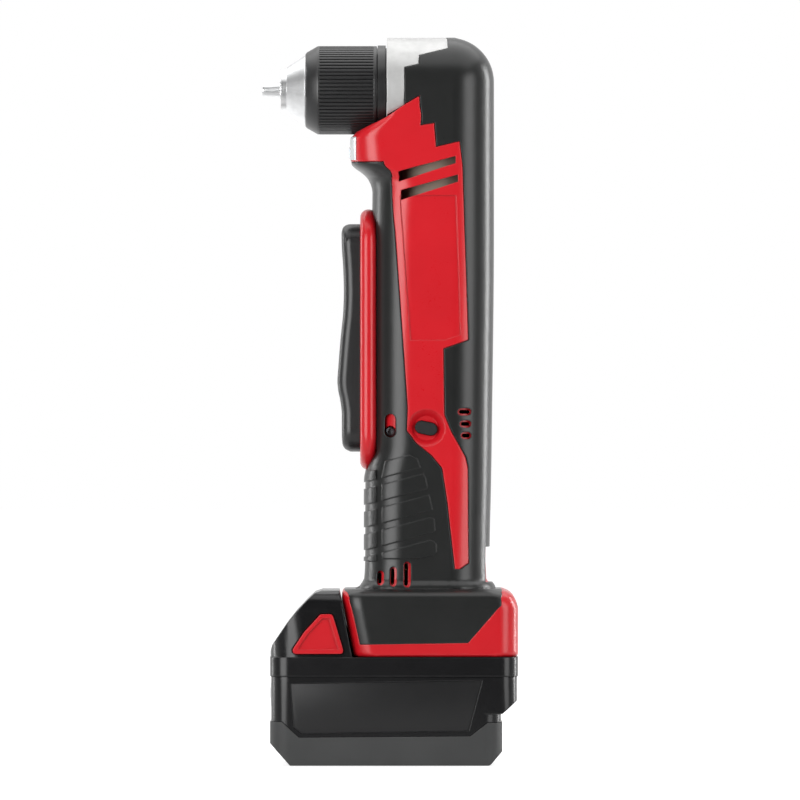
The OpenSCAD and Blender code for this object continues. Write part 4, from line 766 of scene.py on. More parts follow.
class Shader(NodeKit):
    """One material and its nodes."""

    BEVEL_SAMPLES = 6
    EDGE_GAIN = 5.0

    def __init__(self, name: str) -> None:
        """Starts a material with a Principled shader.

        Args:
            name: Name of the material.
        """
        self.material = bpy.data.materials.new(name)
        self.material.use_nodes = True
        super().__init__(self.material.node_tree)
        self.bsdf = self.node("ShaderNodeBsdfPrincipled")
        self.node("ShaderNodeOutputMaterial", {}, {"Surface": self.bsdf.outputs[0]})
        self.place = self.node("ShaderNodeTexCoord").outputs["Object"]

    def set(self, label: str, value: object) -> None:
        """Sets or links one input of the Principled shader."""
        self.feed(self.bsdf.inputs[label], value)

    def grid(self, size: float, stretch: tuple = (1, 1, 1)) -> Socket:
        """Object coordinates counted in steps.

        Args:
            size: Length of a step in millimetres.
            stretch: How much longer the steps are along each axis.
        Returns:
            The coordinates.
        """
        steps = tuple(1 / (size * MM) / s for s in stretch)
        n = self.node("ShaderNodeVectorMath", {"operation": "MULTIPLY"}, {0: self.place, 1: steps})
        return n.outputs[0]

    def noise(self, size: float, detail: float = 3, rough: float = 0.55, stretch: tuple = (1, 1, 1)) -> Wire:
        """Noise.

        Args:
            size: Rough size of its features in millimetres.
            detail: Finer layers.
            rough: Share of each finer layer.
            stretch: How much longer the features are along each axis.
        Returns:
            The wire.
        """
        n = self.node("ShaderNodeTexNoise", {}, {
            "Vector": self.grid(size, stretch), "Scale": 1.0, "Detail": detail, "Roughness": rough})
        return Wire(self, n.outputs[0])

    def cells(self, size: float) -> Wire:
        """Distance in a field of cells about size millimetres wide."""
        n = self.node("ShaderNodeTexVoronoi", {"feature": "F1"}, {"Vector": self.grid(size), "Scale": 1.0})
        return Wire(self, n.outputs["Distance"])

    def mix(self, share: Wire | float, a: object, b: object) -> Wire:
        """Blend of two colours.

        Args:
            share: Share of the second one.
            a: First colour or its wire.
            b: Second colour or its wire.
        Returns:
            The wire.
        """
        n = self.node("ShaderNodeMix", {"data_type": "RGBA"}, {0: share, 6: a, 7: b})
        return Wire(self, n.outputs[2])

    def soft_edges(self, radius: float) -> tuple[Socket, Wire]:
        """Rounds the edges of a material.

        Args:
            radius: Radius in millimetres.
        Returns:
            Normal rounded over the edges, and how near an edge each point is.
        """
        n = self.node("ShaderNodeBevel", {"samples": self.BEVEL_SAMPLES}, {"Radius": radius * MM})
        flat = self.node("ShaderNodeNewGeometry").outputs["Normal"]
        dot = self.node("ShaderNodeVectorMath", {"operation": "DOT_PRODUCT"}, {0: n.outputs[0], 1: flat})
        near = 1 - Wire(self, dot.outputs["Value"])
        return n.outputs[0], (near * self.EDGE_GAIN).clamp()

    def bump(self, height: Wire, depth: float, normal: Socket) -> None:
        """Feeds a bump to the shader's normal.

        Args:
            height: Height of each point.
            depth: Rough depth in millimetres.
            normal: Normal that the bump starts from.
        """
        n = self.node("ShaderNodeBump", {}, {
            "Strength": 1.0, "Distance": depth * MM, "Height": height, "Normal": normal})
        self.set("Normal", n.outputs[0])


# Finishes


@dataclass(frozen=True)
class Moulded:
    """Moulded plastic or rubber: spark texture, colour drift and rubbed edges.

    Sizes are in millimetres and colours are linear.
    """

    BROAD = 34
    CLOUD = 7
    PIT = 2.2
    PIT_SHARE = 0.4
    DRIFTS = (0.3, 0.7)
    WORN = (0.35, 0.65)
    RUB_SHARE = 0.2
    GRAIN_SWING = 0.12
    CLOUD_SWING = 0.06
    COAT_ROUGH = 0.12

    name: str
    colour: Colour
    drift: Colour
    rub: Colour
    rough: float
    specular: float
    grain: float
    grain_depth: float
    edge: float = 0.6
    coat: float = 0.0

    def build(self) -> Material:
        """Builds the material.

        Returns:
            The material.
        """
        s = Shader(self.name)
        normal, edge = s.soft_edges(self.edge)
        broad = s.noise(self.BROAD, detail=2)
        cloud = s.noise(self.CLOUD, detail=4)
        grain = s.noise(self.grain, detail=2, rough=0.6)
        pits = s.cells(self.grain * self.PIT)
        worn = (edge * cloud.above(*self.WORN) * self.RUB_SHARE).clamp()
        tone = s.mix(broad.above(*self.DRIFTS), self.colour, self.drift)
        rough = self.rough + (grain - 0.5) * self.GRAIN_SWING + (cloud - 0.5) * self.CLOUD_SWING
        s.set("Base Color", s.mix(worn, tone, self.rub))
        s.set("Roughness", rough.clamp())
        s.set("Specular IOR Level", self.specular)
        s.set("Coat Weight", self.coat)
        s.set("Coat Roughness", self.COAT_ROUGH)
        s.bump(grain * (1 - self.PIT_SHARE) + pits * self.PIT_SHARE, self.grain_depth, normal)
        return s.material


@dataclass(frozen=True)
class Metal:
    """Machined or cast metal: tool lines around an axis, blotches and bright edges."""

    DRAW = 40
    BLOTCH = 5.0
    TONES = (0.3, 0.72)
    LINE_SWING = 0.2
    BLOTCH_SWING = 0.15
    BRIGHT = 1.2
    EDGE_SHARE = 0.5

    name: str
    colour: Colour
    shade: Colour
    rough: float
    turn: Turn
    line: float
    line_depth: float
    edge: float = 0.3
    metal: float = 1.0

    def build(self) -> Material:
        """Builds the material.

        Returns:
            The material.
        """
        s = Shader(self.name)
        normal, edge = s.soft_edges(self.edge)
        stretch = {Turn.CHUCK: (1, self.DRAW, self.DRAW), Turn.MOTOR: (self.DRAW, self.DRAW, 1),
                   Turn.NONE: (1, 1, 1)}[self.turn]
        lines = s.noise(self.line, detail=4, rough=0.65, stretch=stretch)
        blotch = s.noise(self.BLOTCH, detail=4)
        tone = s.mix(blotch.above(*self.TONES), self.colour, self.shade)
        bright = tuple(min(1.0, c * self.BRIGHT) for c in self.colour)
        rough = self.rough + (lines - 0.5) * self.LINE_SWING + (blotch - 0.5) * self.BLOTCH_SWING
        s.set("Metallic", self.metal)
        s.set("Base Color", s.mix(edge * self.EDGE_SHARE, tone, bright))
        s.set("Roughness", rough.clamp())
        s.bump(lines, self.line_depth, normal)
        return s.material


@dataclass(frozen=True)
class Lens:
    """Milky lens of the lamp, with faint ribs to spread the light."""

    EDGE = 0.5
    BANDS = 0.16
    RIB_DEPTH = 0.03
    HAZE = 2.4
    HAZE_SHARE = 0.35
    HAZE_SWING = 0.06
    HAZE_COLOUR = (0.72, 0.76, 0.8)
    ROUGH = 0.1
    EDGE_ROUGH = 0.1
    COAT = 0.6
    MILK = 0.15

    name: str
    colour: Colour
    rib: float

    def build(self) -> Material:
        """Builds the material.

        Returns:
            The material.
        """
        s = Shader(self.name)
        normal, edge = s.soft_edges(self.EDGE)
        wave = s.node("ShaderNodeTexWave", {"bands_direction": "Y"}, {
            "Vector": s.grid(self.rib), "Scale": self.BANDS, "Distortion": 0.0})
        haze = s.noise(self.HAZE)
        rough = self.ROUGH + edge * self.EDGE_ROUGH + (haze - 0.5) * self.HAZE_SWING
        s.set("Base Color", s.mix(haze * self.HAZE_SHARE, self.colour, self.HAZE_COLOUR))
        s.set("Roughness", rough.clamp())
        s.set("Coat Weight", self.COAT)
        s.set("Subsurface Weight", self.MILK)
        s.bump(Wire(s, wave.outputs["Fac"]), self.RIB_DEPTH, normal)
        return s.material


@dataclass(frozen=True)
class Board:
    """Circuit board: lacquer over traces and pads."""

    EDGE = 0.2
    LANE = 3.2
    LANE_OFFSET = 0.37
    LANE_GAP = 0.03
    LANE_SHARE = 0.6
    DOT = 2.6
    DOT_RIM = (0.22, 0.18)
    DOT_METAL = 0.8
    DOT_GLOSS = 0.12
    ROUGH = 0.38
    STAIN = 3
    STAIN_SWING = 0.1
    DEPTH = 0.03

    name: str
    colour: Colour
    trace: Colour
    pad: Colour

    def build(self) -> Material:
        """Builds the material.

        Returns:
            The material.
        """
        s = Shader(self.name)
        normal, _ = s.soft_edges(self.EDGE)
        brick = s.node("ShaderNodeTexBrick", {"offset": self.LANE_OFFSET}, {
            "Vector": s.grid(self.LANE), "Scale": 1.0, "Mortar Size": self.LANE_GAP})
        lanes = Wire(s, brick.outputs["Fac"])
        dots = s.cells(self.DOT).above(*self.DOT_RIM)
        tone = s.mix(lanes * self.LANE_SHARE, self.colour, self.trace)
        rough = self.ROUGH - dots * self.DOT_GLOSS + (s.noise(self.STAIN) - 0.5) * self.STAIN_SWING
        s.set("Base Color", s.mix(dots, tone, self.pad))
        s.set("Roughness", rough.clamp())
        s.set("Metallic", dots * self.DOT_METAL)
        s.bump(lanes + dots, self.DEPTH, normal)
        return s.material


@dataclass(frozen=True)
class Finishes:
    """Every finish of the drill."""

    red: Moulded = Moulded(
        "red_nylon", (0.49, 0.006, 0.012), (0.46, 0.0055, 0.011), (0.58, 0.05, 0.05),
        rough=0.30, specular=0.4, grain=0.5, grain_depth=0.006, edge=0.8, coat=0.1)
    rubber: Moulded = Moulded(
        "black_rubber", (0.0105, 0.011, 0.0108), (0.0085, 0.009, 0.0088), (0.05, 0.05, 0.05),
        rough=0.31, specular=0.42, grain=0.45, grain_depth=0.022, edge=0.9)
    black: Moulded = Moulded(
        "black_nylon", (0.0045, 0.0045, 0.005), (0.004, 0.004, 0.0045), (0.03, 0.03, 0.03),
        rough=0.23, specular=0.4, grain=0.6, grain_depth=0.003, edge=0.8)
    satin: Moulded = Moulded(
        "satin_nylon", (0.008, 0.008, 0.0085), (0.0065, 0.0065, 0.007), (0.03, 0.03, 0.03),
        rough=0.37, specular=0.6, grain=0.5, grain_depth=0.006, edge=0.25)
    film: Moulded = Moulded(
        "label_film", (0.0095, 0.0095, 0.010), (0.0085, 0.0085, 0.009), (0.04, 0.04, 0.04),
        rough=0.36, specular=0.35, grain=0.3, grain_depth=0.003, edge=0.2)
    dark: Moulded = Moulded(
        "dark_nylon", (0.016, 0.016, 0.017), (0.012, 0.012, 0.013), (0.06, 0.06, 0.06),
        rough=0.44, specular=0.35, grain=0.6, grain_depth=0.016, edge=0.5)
    foot: Moulded = Moulded(
        "grey_rubber", (0.044, 0.045, 0.045), (0.036, 0.037, 0.037), (0.09, 0.09, 0.09),
        rough=0.56, specular=0.3, grain=0.55, grain_depth=0.026, edge=0.9)
    grey: Moulded = Moulded(
        "grey_nylon", (0.16, 0.165, 0.17), (0.13, 0.135, 0.14), (0.28, 0.28, 0.28),
        rough=0.42, specular=0.5, grain=0.6, grain_depth=0.012, edge=0.4)
    sinter: Moulded = Moulded(
        "sintered_ring", (0.25, 0.22, 0.175), (0.22, 0.19, 0.15), (0.3, 0.27, 0.23),
        rough=0.62, specular=0.3, grain=0.8, grain_depth=0.01)
    window: Moulded = Moulded(
        "lamp_window", (0.50, 0.52, 0.53), (0.46, 0.48, 0.49), (0.6, 0.6, 0.6),
        rough=0.20, specular=0.6, grain=0.5, grain_depth=0.002, edge=0.3)
    cast: Metal = Metal(
        "cast_aluminium", (0.50, 0.50, 0.495), (0.45, 0.45, 0.445),
        rough=0.48, turn=Turn.NONE, line=0.9, line_depth=0.02, edge=0.6, metal=0.65)
    steel: Metal = Metal(
        "turned_steel", (0.74, 0.745, 0.75), (0.64, 0.645, 0.65),
        rough=0.34, turn=Turn.CHUCK, line=0.22, line_depth=0.008)
    oxide: Metal = Metal(
        "black_oxide", (0.10, 0.10, 0.105), (0.07, 0.07, 0.075),
        rough=0.34, turn=Turn.NONE, line=0.4, line_depth=0.008)
    drawn: Metal = Metal(
        "drawn_steel", (0.52, 0.525, 0.54), (0.42, 0.425, 0.44),
        rough=0.32, turn=Turn.MOTOR, line=0.3, line_depth=0.01)
    zinc: Metal = Metal(
        "zinc_can", (0.50, 0.455, 0.40), (0.42, 0.38, 0.33),
        rough=0.5, turn=Turn.MOTOR, line=0.3, line_depth=0.01)
    magnet: Metal = Metal(
        "magnet", (0.11, 0.11, 0.12), (0.08, 0.08, 0.09),
        rough=0.55, turn=Turn.NONE, line=0.8, line_depth=0.02)
    copper: Metal = Metal(
        "copper", (0.72, 0.30, 0.14), (0.58, 0.22, 0.10),
        rough=0.34, turn=Turn.MOTOR, line=0.5, line_depth=0.02)
    cells: Metal = Metal(
        "cell_can", (0.36, 0.37, 0.39), (0.28, 0.29, 0.31),
        rough=0.36, turn=Turn.NONE, line=0.6, line_depth=0.01)
    lens: Lens = Lens("lamp_lens", (0.86, 0.88, 0.90), rib=1.6)
    board: Board = Board(
        "circuit_board", (0.02, 0.11, 0.05), trace=(0.04, 0.17, 0.08), pad=(0.62, 0.5, 0.24))

    def by_slot(self) -> dict[str, object]:
        """The finish of each slot of the record.

        Returns:
            Finishes by slot.
        """
        return {"red_plastic": self.red, "black_rubber": self.rubber, "black_plastic": self.black,
                "dark_plastic": self.dark, "grey_rubber": self.foot, "grey_plastic": self.grey,
                "cast_case": self.cast, "steel": self.steel, "magnet": self.magnet, "copper": self.copper,
                "clear_lens": self.lens, "board": self.board, "cells": self.cells}


class Palette:
    """Materials, each built once when it is first asked for."""

    def __init__(self) -> None:
        """Starts empty."""
        self.finishes = Finishes()
        self.made: dict[str, Material] = {}

    def get(self, finish: object) -> Material:
        """The material of a finish.

        Args:
            finish: One of the finishes.
        Returns:
            The material.
        """
        if finish.name not in self.made:
            self.made[finish.name] = finish.build()
        return self.made[finish.name]

    def slot(self, slot: str) -> Material:
        """The material of a slot of the record."""
        return self.get(self.finishes.by_slot()[slot])


# Sub-assemblies


@dataclass
class Handle:
    """Clamshell halves, rubber halves and their screws. Sizes are in millimetres.

    A station of the handle gives shares of its height, grip, spine, half width, and of the half width
    for its front and back corners. A station of the base gives a share of its rise, and shares of its
    rounding at the front, the back and the sides. A screw has shares of the depth and the height, and
    a side; the cap screw has its place.
    """

    axis_z: float = 319.5
    head_r: float = 25.0
    half_w: float = 25.0
    spine: float = 27.0
    grip: float = 34.2
    base_top: float = 83.0
    height: float = 261.5
    head_front: float = 23.8
    head_corner: float = 21.4
    head_angles: tuple = (0, 22, 43, 62, 77, 87)
    head_step: int = 3
    head_flat_share: float = 0.02
    front_round_share: float = 0.2
    back_round_share: float = 0.8
    corner_steps: int = 4
    base_bottom: float = 51.4
    base_rise: float = 31.6
    base_front: float = 46.0
    base_back: float = 38.2
    base_half_w: float = 37.5
    base_lean: float = 6.2
    base_round: float = 7.0
    base_corner: float = 10.0
    base_mid_share: float = 0.5
    lip_share: float = 0.4
    cap_back: float = -38.3
    cap_low: float = 286.0
    cap_high: float = 296.9
    cap_heart: float = -30.0
    cap_proud: float = 0.25
    cap_facing: float = 0.3
    cap_shade: float = 40
    screw_seat: float = 15.0
    screw_shank: float = 27.0
    edge: float = 2.4
    shade: float = 30
    levels: tuple = (0.7, 0.0, -0.6, -2.0)
    pull_depth: float = 2.3
    pull_fade: float = 3.5
    stations: tuple = (
        (-0.02, 1.12, 1.07, 1.15, 0.7, 0.8), (0.005, 1.07, 1.02, 1.09, 0.7, 0.8),
        (0.018, 1.014, 0.94, 1, 0.72, 0.8), (0.051, 1, 0.924, 0.97, 0.74, 0.8),
        (0.196, 0.995, 0.95, 0.96, 0.76, 0.8), (0.225, 0.955, 0.955, 0.965, 0.76, 0.8),
        (0.26, 0.905, 0.96, 0.975, 0.76, 0.8), (0.65, 0.903, 1, 1, 0.76, 0.8),
        (0.719, 0.898, 1, 1, 0.8, 0.8), (0.734, 0.924, 1, 1, 0.83, 0.8),
        (0.742, 0.955, 1, 1, 0.84, 0.8), (0.75, 1.007, 1, 1, 0.76, 0.8),
        (0.772, 1.19, 1, 1, 0.6, 0.8), (0.814, 1.2, 1, 1, 0.55, 0.8),
        (0.824, 1.14, 1, 1, 0.48, 0.8), (0.8688, 0.697, 1, 1, 0.2, 0.8))
    base_stations: tuple = (
        (0, 0.12, 0.12, 0.12), (0.03, 0, 0, 0), (0.05, 0, 0, 0), (0.65, 0, 0, 0), (0.7, 0, 0, 0),
        (0.88, 0.06, 0.25, 0.16), (0.96, 0.3, 0.6, 0.45), (1, 0.75, 1, 0.9))
    screws: tuple = ((0.139, 0.7232, 1), (0.197, 0.2849, -1), (0.8039, 0.1606, 1), (0.232, 0.0918, 1))
    base_screws: tuple = ((0.1425, 0.7152, 1), (0.9382, 0.7152, 1))
    cap_screw: tuple = (18.6, 182.7, 1)

    def _head_row(self, angle: float) -> list[float]:
        """Station of the round head.

        Args:
            angle: Degrees above the chuck axis.
        Returns:
            The station.
        """
        a = math.radians(angle)
        z = self.axis_z + self.head_r * math.sin(a)
        rise = max(0.0, z - self.axis_z - self.head_r + self.head_corner) / self.head_corner
        back = self.spine - self.head_corner * (1 - math.sqrt(max(self.head_flat_share, 1 - rise * rise)))
        return ring_row(z, -self.head_front, back, self.head_r * math.cos(a),
                        self.half_w * self.front_round_share * math.cos(a),
                        self.half_w * self.back_round_share * math.cos(a))

    def _base_rows(self, lip: float) -> list[list[float]]:
        """Stations of the base.

        Args:
            lip: Share of the rounding of its upper front edge.
        Returns:
            The stations.
        """
        rows = []
        for share, front, back, side in self.base_stations:
            lean = self.base_lean * (1 - share)
            part = lip if share > self.base_mid_share else 1.0
            rows.append(ring_row(
                self.base_bottom + share * self.base_rise,
                -self.base_front + lean + front * part * self.base_round,
                self.base_back - back * self.base_round, self.base_half_w - side * self.base_round,
                self.base_corner, self.base_corner))
        return rows

    def lofts(self) -> list[Loft]:
        """Forms of the handle and the base.

        Returns:
            Both forms.
        """
        rows = [ring_row(self.base_top + s[0] * self.height, -self.grip * s[1], self.spine * s[2],
                         self.half_w * s[3], self.half_w * s[4] * s[3], self.half_w * s[5] * s[3])
                for s in self.stations]
        coarse = rows + [self._head_row(a) for a in self.head_angles]
        fine = rows + [self._head_row(a) for a in range(0, self.head_angles[-1] + 1, self.head_step)]
        return [Loft(coarse, fine, self.corner_steps),
                Loft(self._base_rows(1.0), self._base_rows(self.lip_share), self.corner_steps)]

    def build(self, bench: Bench, palette: Palette) -> None:
        """Builds the red halves, the rubber halves and the screws.

        Args:
            bench: Bench that makes the pieces.
            palette: Materials.
        """
        fairing = Fairing(self.lofts(), self.levels, self.pull_depth, self.pull_fade)
        for part, slot in (("housing", "red_plastic"), ("overmould", "black_rubber")):
            for side in ("left", "right"):
                node = f"{part}_{side}"
                bm = bench.lift(node)
                normals = fairing.apply(bm, self.edge)
                if part == "housing":
                    self._window(bm, bench, palette, side)
                bench.settle(bm, f"{node}_skin", node, palette.slot(slot), self.shade, normals)
        self._screws(bench, palette)

    def _window(self, skin: Mesh, bench: Bench, palette: Palette, side: str) -> None:
        """Thin clear cap on the tip of the nose, around the lamp.

        Args:
            skin: Mesh of the red half, in millimetres.
            bench: Bench that makes the piece.
            palette: Materials.
            side: Name of the half's side.
        """
        bm = skin.copy()
        for place, way in (((self.cap_back, 0, 0), (1, 0, 0)), ((0, 0, self.cap_low), (0, 0, -1)),
                           ((0, 0, self.cap_high), (0, 0, 1))):
            whole = bm.verts[:] + bm.edges[:] + bm.faces[:]
            bmesh.ops.bisect_plane(bm, geom=whole, plane_co=place, plane_no=way, clear_outer=True)
        inner = []
        for f in bm.faces:
            c = f.calc_center_median()
            out = Vector((c.x - self.cap_heart, c.y, 0)).normalized()
            if f.normal.dot(out) < self.cap_facing:
                inner.append(f)
        bmesh.ops.delete(bm, geom=inner, context="FACES")
        bm.normal_update()
        moved = [(v, v.normal.copy()) for v in bm.verts]
        for v, n in moved:
            v.co += n * self.cap_proud
        bmesh.ops.solidify(bm, geom=bm.faces[:], thickness=self.cap_proud)
        clear = palette.get(palette.finishes.window)
        bench.settle(bm, f"lamp_window_{side}", f"housing_{side}", clear, self.cap_shade,
                     stands=False)

    def _screws(self, bench: Bench, palette: Palette) -> None:
        """Repeats one lobed screw at every screw place.

        Args:
            bench: Bench that makes the piece.
            palette: Materials.
        """
        handle_d = self.grip + self.spine
        base_d = self.base_front + self.base_back
        spots = [(-self.grip + handle_d * x, self.base_top + self.height * z, side)
                 for x, z, side in self.screws]
        spots += [(-self.base_front + base_d * x, self.base_bottom + self.base_rise * z, side)
                  for x, z, side in self.base_screws]
        spots.append(self.cap_screw)
        points = [((x, side * self.screw_seat, z), (-side * 90, 0, 0)) for x, z, side in spots]
        Screws(self.screw_shank).build(bench, palette, points, "housing_screws")


@dataclass
class Screws:
    """Lobed screws, repeated on points. Sizes are in millimetres.

    The crown holds the rows of the head from the middle out: radius, depth below its top and depth of
    the lobes.
    """

    shank: float
    head_r: float = 2.4
    head_h: float = 2.2
    shank_r: float = 1.48
    crown: tuple = ((0.02, 1.3, 0.0), (1.0, 1.2, 0.16), (1.08, 0.1, 0.17), (1.22, 0.0, 0.15),
                    (1.9, 0.06, 0.0), (2.25, 0.25, 0.0))
    lobes: int = 6
    rim: float = 0.6
    chamfer: float = 0.1
    neck: float = 1.8
    thread_start: float = 2.0
    thread_depth: float = 0.28
    pitch: float = 1.2
    rows_per_turn: int = 6
    tip_r: float = 0.02
    steps: int = 48
    shade: float = 35

    def _rows(self) -> list[tuple[np.ndarray, float]]:
        """Rows of the screw, from the middle of its head to its tip.

        Returns:
            The radius at each step around, and the height, of each row.
        """
        around = np.arange(self.steps) / self.steps
        lobe = np.cos(self.lobes * FULL_TURN * around)
        even = np.ones(self.steps)
        rows = [(r + deep * lobe, self.head_h - drop) for r, drop, deep in self.crown]
        rows += [(even * r, z) for r, z in (
            (self.head_r, self.head_h - self.rim), (self.head_r, self.chamfer),
            (self.head_r - self.chamfer, 0.0), (self.shank_r, 0.0), (self.shank_r, -self.neck))]
        for k in range(int(self.shank / self.pitch * self.rows_per_turn) - self.rows_per_turn):
            phase = (k / self.rows_per_turn + around) % 1
            rows.append((self.shank_r - self.thread_depth * np.abs(2 * phase - 1),
                         -self.thread_start - k * self.pitch / self.rows_per_turn))
        rows.append((even * self.tip_r, -self.shank))
        return rows

    def _one(self) -> bpy.types.Object:
        """One screw: seat at the origin, head along +Z.

        Returns:
            The object.
        """
        bm = bmesh.new()
        turns = FULL_TURN * np.arange(self.steps) / self.steps
        rings = [[bm.verts.new((r * math.cos(a), r * math.sin(a), z)) for r, a in zip(radii, turns)]
                 for radii, z in self._rows()]
        bridge(bm, rings, False)
        bmesh.ops.recalc_face_normals(bm, faces=bm.faces)
        return to_object(to_mesh(bm, "screw_source"), "screw_source")

    def build(self, bench: Bench, palette: Palette, points: Sequence[tuple], node: str) -> None:
        """Places a screw on each point.

        Args:
            bench: Bench that makes the piece.
            palette: Materials.
            points: Place of each seat in millimetres and its turn in degrees.
            node: Solid that the screws stand for.
        """
        steel = palette.get(palette.finishes.oxide)
        source = self._one()
        kit = Instancer("screw_places", {"Screw": "NodeSocketObject", "Finish": "NodeSocketMaterial"})
        turn = kit.node("GeometryNodeInputNamedAttribute", {"data_type": "FLOAT_VECTOR"}, {"Name": "turn"})
        kit.close(kit.repeat(kit.given["Geometry"], kit.given["Screw"], turn.outputs["Attribute"]))
        base = bpy.data.meshes.new("screw_points")
        base.from_pydata([p for p, _ in points], [], [])
        spin = base.attributes.new("turn", "FLOAT_VECTOR", "POINT")
        for item, (_, angles) in zip(spin.data, points):
            item.vector = tuple(math.radians(a) for a in angles)
        bm = kit.run(base, source, {"Screw": source, "Finish": steel})
        bench.settle(bm, f"{node}_lobed", node, steel, self.shade)


@dataclass
class Trigger:
    """Paddle, its bezel, the direction shuttle and the lamp lens. Sizes are in millimetres.

    The profile gives shares of the paddle's height and of how far it stands out. The shoulder and the
    liner are margins of the shuttle's outline, inside and outside.
    """

    low: float = 147.9
    high: float = 255.9
    back: float = -33.4026
    proud: float = 13.9
    half_w: float = 10.6
    edge_r: float = 4.6
    edge_share: float = 0.8
    back_r: float = 0.3
    least_w: float = 1.6
    corner_steps: int = 3
    stations: int = 90
    end_stations: int = 30
    end_share: float = 0.1
    pull_depth: float = 0.6
    pull_fade: float = 1.4
    edge: float = 1.6
    shade: float = 30
    profile: tuple = (
        (0, 0.56), (0.012, 0.74), (0.035, 0.83), (0.08, 0.85), (0.16, 0.85), (0.23, 0.91), (0.27, 0.975),
        (0.31, 1), (0.37, 0.97), (0.5, 0.89), (0.62, 0.8), (0.7, 0.78), (0.8, 0.8), (0.9, 0.85),
        (0.955, 0.86), (0.982, 0.82), (0.995, 0.72), (1, 0.6))
    shuttle_mid: tuple = (-5.2524, 159.1)
    shuttle_half_l: float = 5.2
    shuttle_half_h: float = 2.9
    shuttle_tilt: float = 12
    shuttle_steps: int = 48
    shoulder: tuple = (-0.5, 0.16)
    shoulder_half_w: float = 1.0
    liner: tuple = (0.08, 0.6)
    liner_w: float = 2.0
    liner_lows: tuple = (-10.0, 8.0)
    bead_x: float = -32.6
    bead_half_w: float = 13.6
    bead_low: float = 156.7
    bead_high: float = 245.48
    bead_r: float = 3.9
    bead_slack: float = 0.12
    bead_step: float = 2.0
    trim_shade: float = 40
    crown: float = 0.4
    crown_depth: float = 0.4
    crown_powers: tuple = (4, 3)
    lens_edge: float = 0.9
    lens_shade: float = 50

    def _row(self, share: float, reach: float) -> list[float]:
        """Station of the paddle.

        Args:
            share: Share of its height.
            reach: Share of how far it stands out.
        Returns:
            The station.
        """
        z = self.low + share * (self.high - self.low)
        past = max(self.low + self.half_w - z, z - self.high + self.half_w, 0)
        half = max(self.least_w, math.sqrt(max(0, self.half_w ** 2 - past ** 2)))
        round_r = max(self.least_w / 2, min(self.edge_r, half * self.edge_share))
        return ring_row(z, self.back - self.proud * reach, self.back, half, round_r, self.back_r)

    def build(self, bench: Bench, palette: Palette) -> None:
        """Builds the pieces that the hand meets, and the lens.

        Args:
            bench: Bench that makes the pieces.
            palette: Materials.
        """
        reach = Curve([s for s, _ in self.profile], np.array([[r] for _, r in self.profile]))
        fine = np.unique(np.concatenate([
            np.linspace(0, 1, self.stations), np.linspace(0, self.end_share, self.end_stations),
            np.linspace(1 - self.end_share, 1, self.end_stations)]))
        loft = Loft([self._row(s, r) for s, r in self.profile],
                    [self._row(s, float(reach.at(np.array([s]))[0, 0])) for s in fine], self.corner_steps)
        bm = bench.lift("paddle")
        normals = Fairing([loft], (0.0,), self.pull_depth, self.pull_fade).apply(bm, self.edge)
        satin = palette.get(palette.finishes.satin)
        bench.settle(bm, "paddle_skin", "paddle", satin, self.shade, normals)
        self._bezel(bench, palette)
        self._shuttle(bench, palette)
        self._lens(bench, palette)

    def _stadium(self, extra: float) -> list[tuple[float, float]]:
        """Outline of the shuttle.

        Args:
            extra: Margin by which it is grown.
        Returns:
            Points in X and Z.
        """
        tilt = math.radians(self.shuttle_tilt)
        outline = []
        for a in np.linspace(0, FULL_TURN, self.shuttle_steps, endpoint=False):
            r = self.shuttle_half_h + extra
            u = math.copysign(self.shuttle_half_l - self.shuttle_half_h, math.cos(a)) + r * math.cos(a)
            w = r * math.sin(a)
            outline.append((self.shuttle_mid[0] + u * math.cos(tilt) + w * math.sin(tilt),
                            self.shuttle_mid[1] - u * math.sin(tilt) + w * math.cos(tilt)))
        return outline

    def _band(self, bm: Mesh, margins: tuple[float, float], low: float, high: float) -> None:
        """Adds a band around the shuttle's path.

        Args:
            bm: Mesh that gets the band.
            margins: Margins of its inside and its outside.
            low: Place of one end along Y.
            high: Place of the other end.
        """
        inner, outer = margins
        rings = [[bm.verts.new((x, y, z)) for x, z in self._stadium(extra)]
                 for extra, y in ((inner, low), (outer, low), (outer, high), (inner, high))]
        bridge(bm, rings, True)

    def _shuttle(self, bench: Bench, palette: Palette) -> None:
        """Direction shuttle with a shoulder, and liners in its tunnel, which keep the light out together.

        Args:
            bench: Bench that makes the pieces.
            palette: Materials.
        """
        satin = palette.get(palette.finishes.satin)
        bm = bench.lift("direction_shuttle")
        self._band(bm, self.shoulder, -self.shoulder_half_w, self.shoulder_half_w)
        bmesh.ops.recalc_face_normals(bm, faces=bm.faces)
        bench.settle(bm, "shuttle_shouldered", "direction_shuttle", satin, self.trim_shade)
        liners = bmesh.new()
        for low in self.liner_lows:
            self._band(liners, self.liner, low, low + self.liner_w)
        bmesh.ops.recalc_face_normals(liners, faces=liners.faces)
        bench.settle(liners, "shuttle_liners", "housing_left", satin, self.trim_shade,
                     stands=False)

    def _core(self, p: Vector) -> Vector:
        """Nearest point of the middle line of the rim's bead.

        Args:
            p: Any point.
        Returns:
            The point on the line.
        """
        z = min(max(p.z, self.bead_low), self.bead_high)
        way = Vector((0, p.y, p.z - z)).normalized()
        return Vector((self.bead_x, 0, z)) + way * self.bead_half_w

